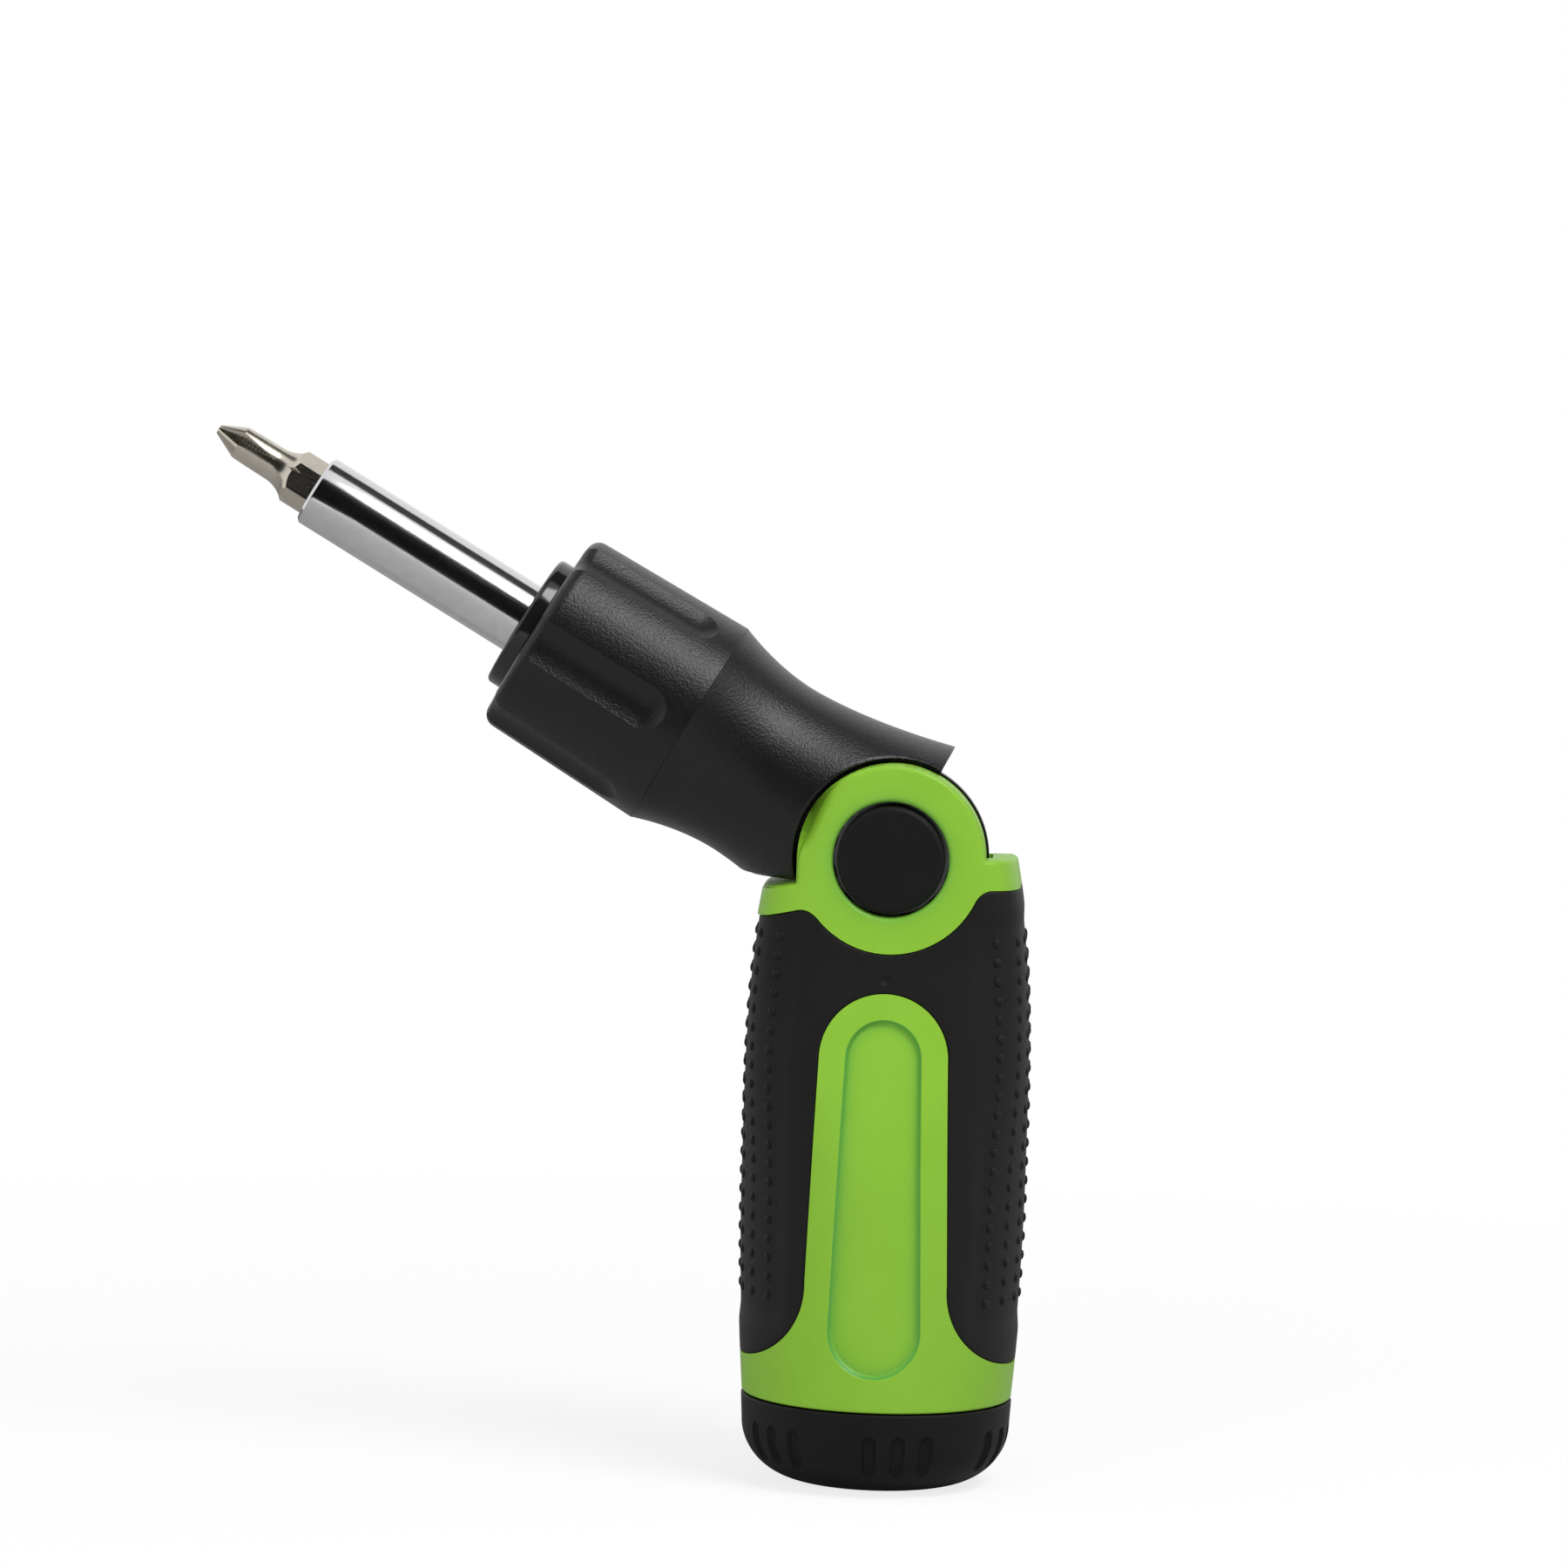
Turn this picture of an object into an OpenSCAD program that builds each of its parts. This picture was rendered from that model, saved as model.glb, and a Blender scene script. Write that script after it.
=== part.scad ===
// Multi-bit screwdriver with a pivoting ratchet head, drawn with the head bent to the left.
// Millimetres. The origin is the centre of the flat foot under the end cap, +Z runs up the handle
// and the front of the tool faces -Y. Head pieces are drawn upright round the pivot, then bent.

/* [Handle] */
// Height of the pivot above the foot
pivot_z = 81.5; // [80:0.5:84]
// Largest radius of the grip
grip_r = 18.6; // [18:0.1:18.8]
// Height of the largest radius
grip_z = 40; // [38:1:42]
// Half width of the handle at the pivot
shoulder_r = 15.7; // [15.4:0.1:16.2]
// Radius of the handle where the end cap meets it
foot_r = 17.4; // [17.2:0.1:17.8]
// Height of the joint between the handle and its end cap
seam_z = 11.2; // [11:0.1:12]
// Thickness of the soft grip sleeve
sleeve_t = 1.8; // [1.4:0.1:2]
// Depth of the bare label recess in the window
recess_d = 0.7; // [0.4:0.1:1]

/* [Pivot] */
// Bend of the head as drawn, in degrees
bend = 60; // [0:30:60]
// Radius of the front fork ear
ear_r = 12; // [11.8:0.1:12.2]
// Radius of the rear fork ear
rear_ear_r = 9.8; // [9.6:0.1:10]
// Distance from the middle of the tool to the outer face of an ear
ear_y = 12.8; // [12.6:0.1:13.2]
// Distance from the middle of the tool to the inner face of an ear
slot_y = 7.2; // [7:0.1:7.4]
// Radius of the lock button
button_r = 6.85; // [6.5:0.05:7]
// Radius of the steel axle
axle_r = 3; // [2.8:0.1:3.2]
// Travel of the lock button
button_travel = 3.2; // [3.1:0.1:3.4]

/* [Head] */
// Radius of the neck at its waist
waist_r = 12.1; // [11.9:0.1:12.3]
// Radius of the selector collar at its lower edge
collar_r = 14.25; // [14:0.05:14.5]
// How much less the collar's radius is at its upper edge
collar_draft = 0.5; // [0:0.1:0.6]
// Radius of the skirt beside the ears
skirt_r = 15.5; // [15.2:0.1:15.8]
// Distance from the pivot to the lower edge of the collar
collar_z = 31; // [30.5:0.5:31.5]
// Distance from the pivot to the upper edge of the collar
collar_top = 54; // [53.5:0.5:55]
// Radius of the nose disc
nose_r = 9.1; // [8.9:0.1:9.6]

/* [Shaft and bits] */
// Radius of the shaft
shaft_r = 4.75; // [4.7:0.05:4.8]
// Distance from the pivot to the open end of the shaft
shaft_top = 87.8; // [86:0.2:90]
// Size of a bit's hex shank across its flats
hex_af = 6.35; // [6.3:0.05:6.35]
// Length of a bit
bit_length = 25.4; // [24.6:0.2:25.4]

/* [Hidden] */
$fn = 96;

green = "#8DC63F";
black = "#262626";
gloss_black = "#161616";
bright_steel = "#D5D7DA";
dark_steel = "#8A8C90";
champagne_steel = "#B9AE9B";
red_nylon = "#8C2F2B";

// Room left round pieces that move past each other
gap = 0.3;
// Room left round a shaft that turns in its own bore
run_gap = 0.05;
// Room left round a piece that is pressed into its seat
press_gap = 0.02;
// How far a cutting shape reaches past the face that it opens
past = 1;
// Half size of shapes that only mark off a region
wide = 30;
// Straight pieces in each curved outline
steps = 10;

// Handle outline
top_z = pivot_z + ear_r + past;
waist_power = 3.2;
flat_start_z = grip_z - 2;
flat_end_z = pivot_z - 5.5;
right_shoulder_z = pivot_z + 0.2;
right_shoulder_fall = 6;
left_shoulder_z = pivot_z - 3.55;
left_shoulder_slope = 0.22;
left_level_x = 8;

// Soft grip outline
ring_r = ear_r;
border_x = 10.2;
border_left_z = pivot_z - 6.5;
border_left_slope = 0.25;
border_right_z = pivot_z - 3.5;
border_right_slope = 0.03;
panel_bottom_z = 16;
window_top_z = pivot_z - 17;
window_r = 8.2;
window_low_z = 28;
window_low_w = 9.05;
window_flare_r = 11;
recess_top_z = pivot_z - 20.2;
recess_top_r = 4.9;
recess_bottom_z = 15.5;
recess_bottom_r = 6;

// Inside of the handle
store_r = 12.5;
store_top_z = 52;
plug_bore_r = 14;
plug_bore_top_z = 18;
key_w = 2;
key_depth = 1.1;

// Pivot
slot_r = ear_r + 0.8;
slot_half = slot_r - 0.2;
hub_r = ear_r + 0.3;
hub_back_r = rear_ear_r + 0.4;
hub_step_y = 5.2;
hub_y = slot_y - 0.25;
ear_clear = 0.6;
rear_ear_clear = 0.8;
button_bore_r = 7.4;
button_face_y = ear_y + 0.3;
lock_teeth = 12;
lock_tip_r = 8.4;
lock_root_r = 7.3;
lock_front_y = 10.1;
lock_pocket_r = 8.7;
lock_pocket_y = 10.4;
lock_cup_r = 6;
lock_wall = 1;
lock_stub_r = 4;
tooth_gap = 0.12;
hub_web_y = 0.5;
lock_back_y = hub_web_y + button_travel + 0.4;
axle_front_y = lock_front_y - lock_wall - button_travel - 0.7;
axle_head_r = 5.6;
axle_head_t = 1.4;
cap_seat_y = 10.6;
cap_seat_r = 7.4;
spring_r = 4.6;
spring_wire_r = 0.45;
spring_turns = 5;

// Head
skirt_z = 0.5;
neck_low_z = 20;
neck_up_power = 1.9;
neck_down_power = 1.65;
crease = 0.05;
relief_z = -3.3;
stop_bend = 60;
spigot_r = 10.2;
spigot_top = collar_top - 1.8;
chamber_r = 8;
chamber_z = 35;
journal_r = 4;
journal_z = 22.5;
window_half = 2.5;
gear_z = chamber_z + 0.9;
gear_top = gear_z + 8.7;
washer_t = 0.7;
washer_r = 7.7;
gear_teeth = 24;
gear_tip_r = 5.9;
gear_root_r = 5.2;
pawl_z = gear_z + 0.6;
pawl_h = 7.2;
pawl_nose_r = gear_tip_r + 0.3;
pawl_back_r = 9.9;
pawl_half = 1.9;
pawl_tail_r = 9.4;
pawl_tail_y = -1.6;
pawl_heel_x = 9;
pawl_heel_y = 1.5;
pawl_heel_r = 0.7;
ring_z = pawl_z + pawl_h / 2;
ring_centre_r = 9.75;
ring_wire_r = 0.35;
ring_seat_r = 9.25;
ring_seat_h = 1.3;
collar_bore_r = spigot_r + 0.25;
collar_lip_r = 8.1;
collar_lip_z = spigot_top + gap;
collar_round = 1.7;
collar_lean = atan(collar_draft / (collar_top - collar_z));
collar_grooves = 6;
groove_r = 6;
groove_depth = 1;
groove_z = 34;
groove_end = groove_z + sqrt(pow(groove_r, 2) - pow(groove_r - groove_depth, 2));
nose_stem_r = chamber_r - 0.2;
nose_stem_z = gear_top + washer_t + 0.3;
nose_bottom = collar_top + gap;
nose_top = 56.2;
nose_round = 0.7;
detent_z = 48;
detent_w = 5.6;
detent_h = 2.4;
detent_y = 9.75;
detent_t = 0.4;
detent_bump_r = 0.5;
detent_seat_y = 8.95;

// Shaft and bits
socket_gap = 0.15;
hex_r = hex_af / 2 / cos(30);
socket_hex_r = (hex_af + socket_gap) / 2 / cos(30);
bit_seat = 77;
bit_turn = 5.6;
cross_turn = 57;
magnet_r = 3;
magnet_t = 2.8;
socket_bottom = bit_seat - magnet_t - 0.3;
socket_ring_z = shaft_top - 4;
socket_ring_h = 1;
socket_ring_seat_r = 4.25;
shaft_chamfer = 0.6;
shank_length = 14;
shank_chamfer = 0.6;
bit_neck_r = 2.95;
bit_neck_length = 2.4;
tip_length = bit_length - shank_length - bit_neck_length;
cross_r = 2.3;
small_cross_r = 1.9;
cross_point = 3.3;
cross_end_r = 0.6;
flute_lead = 0.12;
// How far a cross tip reaches into its neck, and how far the neck stands out round it
tip_lap = 0.3;
tip_step = 0.03;
cross_core_r = 0.5;
plain_tip_r = 2.3;

// Rack and end cap
rack_r = store_r - gap;
rack_z = 18.4;
rack_floor = 2.6;
rack_top = 36;
rack_count = 6;
rack_ring_r = 8;
rack_stem_r = 3.5;
rack_stem_z = 8;
clip_z = 10;
clip_h = 0.8;
clip_groove_r = 3;
clip_r = 4;
cap_top = seam_z - 0.2;
cap_flat_r = 9;
cap_side_r = 17.3;
cap_round_h = 7.6;
cap_rim_r = foot_r + 0.1;
plug_r = plug_bore_r - gap;
plug_top = 17.4;
plug_wall_r = 11.2;
cap_boss_r = 6;
cap_floor = 4;
seal_z = 14;
seal_r = 0.6;
seal_ring_r = 13.1;
seal_seat_r = 12.45;
rib_groups = 6;
rib_each = 3;
rib_step = 12.5;
rib_turn = 12;
rib_w = 1.9;
rib_d = 0.6;
rib_low_z = 2.6;
rib_high_z = 8.2;

// Outline heights from a to b in equal steps
function heights(a, b) = [for (i = [0 : steps]) a + (b - a) * i / steps];

// Radius of the lower handle, which is round
function barrel_r(z) = z >= grip_z ? grip_r
    : grip_r - (grip_r - foot_r) * pow((grip_z - z) / (grip_z - seam_z), 2);

// Half width of the handle, seen from the front
function front_half(z) = z <= grip_z ? grip_r + past
    : grip_r - (grip_r - shoulder_r) * pow((z - grip_z) / (pivot_z - grip_z), waist_power);

// Half depth of the handle, seen from the side
function side_half(z) = z <= flat_start_z ? grip_r + past
    : z >= flat_end_z ? ear_y
    : ear_y + (grip_r - ear_y) * (1 + cos(180 * (z - flat_start_z) / (flat_end_z - flat_start_z))) / 2;

// Radius of the neck at a distance from the pivot
function neck_r(z) = z > neck_low_z
    ? waist_r + (collar_r - crease - waist_r) * pow((z - neck_low_z) / (collar_z - neck_low_z), neck_up_power)
    : waist_r + (skirt_r - waist_r) * pow((neck_low_z - z) / (neck_low_z - skirt_z), neck_down_power);

// Radius of the end cap at a height
function cap_r(z) = z >= cap_round_h
    ? cap_side_r + (cap_rim_r - cap_side_r) * (z - cap_round_h) / (cap_top - cap_round_h)
    : cap_flat_r + (cap_side_r - cap_flat_r) * sqrt(1 - pow((cap_round_h - z) / cap_round_h, 2));

// Outline of a toothed wheel with square-cut teeth
function square_teeth(count, tip, root) = [for (i = [0 : count - 1],
        corner = [[-0.3, 0], [-0.2, 1], [0.2, 1], [0.3, 0]])
    let (angle = (i + corner[0]) * 360 / count, r = root + (tip - root) * corner[1])
    [r * cos(angle), r * sin(angle)]];

// Outline of a toothed wheel with pointed teeth
function pointed_teeth(count, tip, root) = [for (i = [0 : 2 * count - 1])
    let (angle = i * 180 / count, r = i % 2 == 0 ? tip : root)
    [r * cos(angle), r * sin(angle)]];

// Extrudes a front outline, drawn as x and height, from one depth in front of the middle to another
module from_front(near, far) {
    rotate([90, 0, 0])
        translate([0, 0, far])
            linear_extrude(near - far)
                children();
}

// Round piece along the pivot, from one depth in front of the middle to another
module pivot_round(r, near, far) {
    from_front(near, far) circle(r);
}

// Moves pieces drawn upright round the pivot to the bent head
module on_head() {
    translate([0, 0, pivot_z])
        rotate([0, -bend, 0])
            children();
}

// Outer form of the handle, or a smaller one that lies the inset below its surface
module handle_form(inset) {
    low = heights(seam_z, grip_z);
    front_z = heights(grip_z + past / 10, top_z);
    side_z = heights(flat_start_z + past / 10, flat_end_z);
    intersection() {
        rotate_extrude()
            polygon(concat(
                [[0, seam_z]],
                [for (z = low) [barrel_r(z) - inset, z]],
                [[grip_r - inset, top_z], [0, top_z]]));
        from_front(wide, -wide)
            polygon(concat(
                [[wide, seam_z - past]],
                [for (z = front_z) [front_half(z) - inset, z]],
                [for (i = [steps : -1 : 0]) [-front_half(front_z[i]) + inset, front_z[i]]],
                [[-wide, seam_z - past]]));
        rotate([90, 0, 90])
            translate([0, 0, -wide])
                linear_extrude(2 * wide)
                    polygon(concat(
                        [[wide, seam_z - past]],
                        [for (z = side_z) [side_half(z) - inset, z]],
                        [[ear_y - inset, top_z], [inset - ear_y, top_z]],
                        [for (i = [steps : -1 : 0]) [-side_half(side_z[i]) + inset, side_z[i]]],
                        [[-wide, seam_z - past]]));
    }
}

// Front outline of the handle below its two shoulders
module body_outline() {
    polygon([
        [-wide, seam_z - past],
        [-wide, left_shoulder_z - left_shoulder_slope * (wide - ear_r)],
        [-ear_r, left_shoulder_z],
        [-left_level_x, left_shoulder_z],
        [ear_r, right_shoulder_z],
        [wide, right_shoulder_z],
        [wide, seam_z - past]]);
}

// Front outline of an ear and the stem that carries it
module ear_outline(r) {
    translate([0, pivot_z]) circle(r);
    translate([-r, pivot_z - r]) square([2 * r, r]);
}

// Front outline of the window in the soft grip
module window_outline() {
    translate([0, window_top_z - window_r]) circle(window_r);
    polygon([
        [-window_r, window_top_z - window_r],
        [window_r, window_top_z - window_r],
        [window_low_w, window_low_z],
        [window_low_w, panel_bottom_z],
        [-window_low_w, panel_bottom_z],
        [-window_low_w, window_low_z]]);
    for (side = [0, 1])
        mirror([side, 0])
            translate([window_low_w, panel_bottom_z])
                difference() {
                    square(window_flare_r);
                    translate([window_flare_r, window_flare_r]) circle(window_flare_r);
                }
}

// Front outline of the soft grip
module grip_outline() {
    difference() {
        polygon([
            [-wide, border_left_z - border_left_slope * (wide - border_x)],
            [-border_x, border_left_z],
            [border_x, border_right_z],
            [wide, border_right_z - border_right_slope * (wide - border_x)],
            [wide, panel_bottom_z],
            [-wide, panel_bottom_z]]);
        translate([0, pivot_z]) circle(ring_r);
        window_outline();
    }
}

// Front outline of the recess in the window
module recess_outline() {
    top = recess_top_z - recess_top_r;
    bottom = recess_bottom_z + recess_bottom_r;
    translate([0, top]) circle(recess_top_r);
    translate([0, bottom]) circle(recess_bottom_r);
    polygon([
        [-recess_top_r, top],
        [recess_top_r, top],
        [recess_bottom_r, bottom],
        [-recess_bottom_r, bottom]]);
}

// Space inside the handle for the rack and the cap's plug
module storage_space() {
    difference() {
        translate([0, 0, seam_z - past]) cylinder(r = store_r, h = store_top_z - seam_z + past);
        translate([store_r - key_depth, -key_w / 2, plug_bore_top_z + past])
            cube([key_depth + past, key_w, store_top_z - plug_bore_top_z]);
    }
    translate([0, 0, seam_z - past]) cylinder(r = plug_bore_r, h = plug_bore_top_z - seam_z + past);
}

module handle_core() {
    color(green)
        difference() {
            union() {
                intersection() {
                    handle_form(0);
                    from_front(wide, -wide) body_outline();
                }
                from_front(ear_y, 0) ear_outline(ear_r);
                from_front(0, -ear_y) ear_outline(rear_ear_r);
            }
            translate([rear_ear_r + gap, 0, right_shoulder_z])
                rotate([-right_shoulder_fall, 0, 0])
                    cube(wide);
            difference() {
                from_front(wide, -wide) grip_outline();
                handle_form(sleeve_t);
            }
            difference() {
                from_front(wide, -wide) recess_outline();
                handle_form(recess_d);
            }
            translate([0, 0, pivot_z]) {
                pivot_round(slot_r, slot_y, -slot_y);
                pivot_round(button_bore_r, wide, lock_pocket_y);
                pivot_round(lock_pocket_r, lock_pocket_y, slot_y - past);
                pivot_round(axle_r + press_gap, 0, -wide);
                pivot_round(cap_seat_r, -cap_seat_y, -wide);
                translate([-slot_half, -slot_y, 0]) cube([2 * slot_half, 2 * slot_y, wide]);
            }
            storage_space();
        }
}

module grip_sleeve() {
    color(black)
        intersection() {
            difference() {
                handle_form(0);
                handle_form(sleeve_t);
            }
            from_front(wide, -wide) grip_outline();
        }
}

module pivot_axle() {
    color(bright_steel)
        translate([0, 0, pivot_z]) {
            pivot_round(axle_r, axle_front_y, -cap_seat_y);
            pivot_round(axle_head_r, -cap_seat_y, -cap_seat_y - axle_head_t);
        }
}

module pivot_cap() {
    head_room = axle_head_t + 0.1;
    color(black)
        translate([0, 0, pivot_z])
            difference() {
                pivot_round(cap_seat_r - run_gap, -cap_seat_y, -ear_y);
                pivot_round(axle_head_r + 0.1, 0, -cap_seat_y - head_room);
            }
}

module lock_button() {
    edge = 0.8;
    color(black)
        on_head() {
            rotate([90, 0, 0])
                rotate_extrude()
                    polygon([
                        [0, lock_front_y],
                        [button_r, lock_front_y],
                        [button_r, button_face_y - edge],
                        [button_r - edge * (1 - cos(45)), button_face_y - edge * (1 - sin(45))],
                        [button_r - edge, button_face_y],
                        [0, button_face_y]]);
            pivot_round(lock_stub_r, lock_front_y, lock_front_y - lock_wall);
        }
}

module lock_gear() {
    color(dark_steel)
        on_head()
            difference() {
                from_front(lock_front_y, lock_back_y)
                    polygon(square_teeth(lock_teeth, lock_tip_r, lock_root_r));
                pivot_round(lock_cup_r, lock_front_y - lock_wall, 0);
                pivot_round(lock_stub_r + press_gap, wide, 0);
            }
}

// Rings of a coil along +Z, with the wire's section square to its path
module coil(length) {
    rings = 12 * spring_turns;
    sides = 6;
    points = [for (i = [0 : rings], k = [0 : sides - 1])
        let (turn = 360 * i * spring_turns / rings, round = 360 * k / sides,
            r = spring_r + spring_wire_r * cos(round))
        [r * cos(turn), r * sin(turn), length * i / rings + spring_wire_r * sin(round)]];
    skin = [for (i = [0 : rings - 1], k = [0 : sides - 1])
        let (next = (k + 1) % sides, a = i * sides)
        [a + k, a + sides + k, a + sides + next, a + next]];
    polyhedron(points, concat(
        [[for (k = [0 : sides - 1]) k]],
        skin,
        [[for (k = [sides - 1 : -1 : 0]) rings * sides + k]]));
}

module lock_spring() {
    start = hub_web_y + spring_wire_r + 0.05;
    end = lock_front_y - lock_wall - spring_wire_r - 0.05;
    color(bright_steel)
        on_head()
            rotate([90, 0, 0])
                translate([0, 0, start])
                    coil(end - start);
}

// Neck and skirt of the head, cut to clear the ears and the left shoulder
module neck_form() {
    low = heights(skirt_z, neck_low_z);
    high = heights(neck_low_z, collar_z);
    difference() {
        rotate_extrude()
            polygon(concat(
                [[0, skirt_z]],
                [for (z = low) [neck_r(z), z]],
                [for (i = [1 : steps]) [neck_r(high[i]), high[i]]],
                [[0, collar_z]]));
        pivot_round(ear_r + ear_clear, wide, hub_y);
        pivot_round(rear_ear_r + rear_ear_clear, -hub_y, -wide);
        rotate([0, stop_bend, 0])
            translate([-wide, -wide, relief_z - 2 * wide])
                cube(2 * wide);
    }
}

module head_shell() {
    color(black)
        on_head()
            difference() {
                union() {
                    neck_form();
                    pivot_round(hub_r, hub_y, hub_step_y);
                    pivot_round(hub_back_r, hub_step_y, -hub_y);
                    translate([0, 0, collar_z - past])
                        cylinder(r = spigot_r, h = spigot_top - collar_z + past);
                }
                translate([0, 0, chamber_z]) cylinder(r = chamber_r, h = spigot_top);
                translate([0, 0, journal_z]) cylinder(r = journal_r + run_gap, h = spigot_top);
                translate([-wide, -window_half, pawl_z - gap])
                    cube([2 * wide, 2 * window_half, pawl_h + 2 * gap]);
                translate([0, 0, ring_z - ring_seat_h / 2])
                    difference() {
                        cylinder(r = spigot_r + past, h = ring_seat_h);
                        cylinder(r = ring_seat_r, h = ring_seat_h);
                    }
                translate([-detent_w / 2 - gap, -wide, detent_z - detent_h / 2 - gap])
                    cube([detent_w + 2 * gap, wide - detent_seat_y, detent_h + 2 * gap]);
                from_front(wide, hub_web_y)
                    polygon(square_teeth(lock_teeth, lock_tip_r + tooth_gap, lock_root_r + tooth_gap));
                pivot_round(axle_r + run_gap, hub_web_y + past, -wide);
            }
}

module nose_bushing() {
    color(gloss_black)
        on_head()
            difference() {
                union() {
                    translate([0, 0, nose_stem_z]) cylinder(r = nose_stem_r, h = nose_top - nose_stem_z);
                    translate([0, 0, nose_bottom])
                        cylinder(r = nose_r, h = nose_top - nose_round - nose_bottom);
                    translate([0, 0, nose_top - nose_round])
                        cylinder(r1 = nose_r, r2 = nose_r - nose_round, h = nose_round);
                }
                translate([0, 0, nose_stem_z - past]) cylinder(r = shaft_r + run_gap, h = nose_top);
            }
}

// One pawl, to the right of the gear, which swings on its round heel
module pawl() {
    translate([0, 0, pawl_z])
        difference() {
            linear_extrude(pawl_h) {
                polygon([
                    [pawl_nose_r, 0.3],
                    [pawl_nose_r + 1, -pawl_half],
                    [pawl_tail_r, pawl_tail_y],
                    [pawl_back_r, pawl_heel_y],
                    [pawl_nose_r + 1.6, pawl_half]]);
                translate([pawl_heel_x, pawl_heel_y]) circle(pawl_heel_r);
            }
            translate([0, 0, (pawl_h - ring_seat_h) / 2])
                difference() {
                    cylinder(r = spigot_r + past, h = ring_seat_h);
                    cylinder(r = ring_seat_r, h = ring_seat_h);
                }
        }
}

module pawl_right() {
    color(dark_steel)
        on_head()
            pawl();
}

module pawl_left() {
    color(dark_steel)
        on_head()
            mirror([1, 0, 0])
                pawl();
}

module pawl_spring() {
    color(bright_steel)
        on_head()
            translate([0, 0, ring_z])
                rotate_extrude()
                    translate([ring_centre_r, 0]) circle(ring_wire_r);
}

// Flat ring at a distance from the pivot
module washer(z, inner, outer, thick) {
    translate([0, 0, z])
        difference() {
            cylinder(r = outer, h = thick);
            translate([0, 0, -past]) cylinder(r = inner, h = thick + 2 * past);
        }
}

module thrust_washers() {
    bore = journal_r + 0.15;
    color(bright_steel)
        on_head() {
            washer(chamber_z + 0.05, bore, washer_r, washer_t);
            washer(gear_top + 0.15, bore, washer_r, washer_t);
        }
}

module selector_detent() {
    color(bright_steel)
        on_head()
            translate([-detent_w / 2, -detent_y, detent_z - detent_h / 2]) {
                cube([detent_w, detent_t, detent_h]);
                translate([detent_w / 2, detent_t / 2, 0]) cylinder(r = detent_bump_r, h = detent_h);
            }
}

module selector_collar() {
    color(black)
        on_head()
            difference() {
                rotate_extrude()
                    polygon(concat(
                        [[collar_bore_r, collar_z + gap], [collar_r, collar_z + gap]],
                        [for (i = [0 : steps])
                            let (angle = 90 * i / steps)
                            [collar_r - collar_draft - collar_round * (1 - cos(angle)),
                                collar_top - collar_round * (1 - sin(angle))]],
                        [[collar_lip_r, collar_top], [collar_lip_r, collar_lip_z],
                            [collar_bore_r, collar_lip_z]]));
                for (i = [0 : collar_grooves - 1])
                    rotate([0, 0, 30 + 360 * i / collar_grooves])
                        translate([collar_r + groove_r - groove_depth, 0, groove_end])
                            rotate([0, -collar_lean, 0]) {
                                cylinder(r = groove_r, h = collar_top);
                                sphere(r = groove_r);
                            }
            }
}

module bit_shaft() {
    color(bright_steel)
        on_head()
            difference() {
                union() {
                    translate([0, 0, journal_z + 0.3]) cylinder(r = journal_r, h = nose_stem_z - journal_z);
                    translate([0, 0, nose_stem_z])
                        cylinder(r = shaft_r, h = shaft_top - shaft_chamfer - nose_stem_z);
                    translate([0, 0, shaft_top - shaft_chamfer])
                        cylinder(r1 = shaft_r, r2 = shaft_r - shaft_chamfer, h = shaft_chamfer);
                }
                translate([0, 0, socket_bottom])
                    rotate([0, 0, bit_turn])
                        cylinder(r = socket_hex_r, h = shaft_top, $fn = 6);
                translate([0, 0, socket_ring_z - gap / 2])
                    cylinder(r = socket_ring_seat_r, h = socket_ring_h + gap);
            }
}

module ratchet_gear() {
    color(dark_steel)
        on_head()
            translate([0, 0, gear_z])
                difference() {
                    linear_extrude(gear_top - gear_z)
                        polygon(pointed_teeth(gear_teeth, gear_tip_r, gear_root_r));
                    translate([0, 0, -past]) cylinder(r = journal_r + press_gap, h = gear_top);
                }
}

module socket_magnet() {
    color(dark_steel)
        on_head()
            translate([0, 0, socket_bottom + 0.05])
                cylinder(r = magnet_r, h = magnet_t);
}

module socket_ring() {
    color(bright_steel)
        on_head()
            washer(socket_ring_z, socket_hex_r + 0.05, socket_ring_seat_r - 0.1, socket_ring_h);
}

// Shank and neck of a bit, standing on its end, with the radius that the neck narrows to
module bit_shank(end_r) {
    cylinder(r1 = hex_r - shank_chamfer, r2 = hex_r, h = shank_chamfer, $fn = 6);
    translate([0, 0, shank_chamfer])
        cylinder(r = hex_r, h = shank_length - shank_chamfer, $fn = 6);
    translate([0, 0, shank_length])
        cylinder(r1 = bit_neck_r, r2 = end_r, h = bit_neck_length);
}

// Fluted cross tip that ends a bit
module cross_tip(r) {
    lean = atan((r + flute_lead - cross_core_r) / tip_length);
    translate([0, 0, shank_length + bit_neck_length])
        difference() {
            union() {
                translate([0, 0, -tip_lap]) cylinder(r = r, h = tip_length - cross_point + tip_lap);
                translate([0, 0, tip_length - cross_point])
                    cylinder(r1 = r, r2 = cross_end_r, h = cross_point);
            }
            for (turn = [45 : 90 : 315])
                rotate([0, 0, turn])
                    translate([r + flute_lead, 0, 0])
                        rotate([0, -lean, 0])
                            rotate([0, 0, -45])
                                translate([0, 0, -past])
                                    cube([2 * r, 2 * r, 2 * tip_length]);
        }
}

// Plain tip that ends a bit, from the outline of its driving end
module outline_tip() {
    translate([0, 0, shank_length + bit_neck_length])
        linear_extrude(tip_length)
            children();
}

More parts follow.
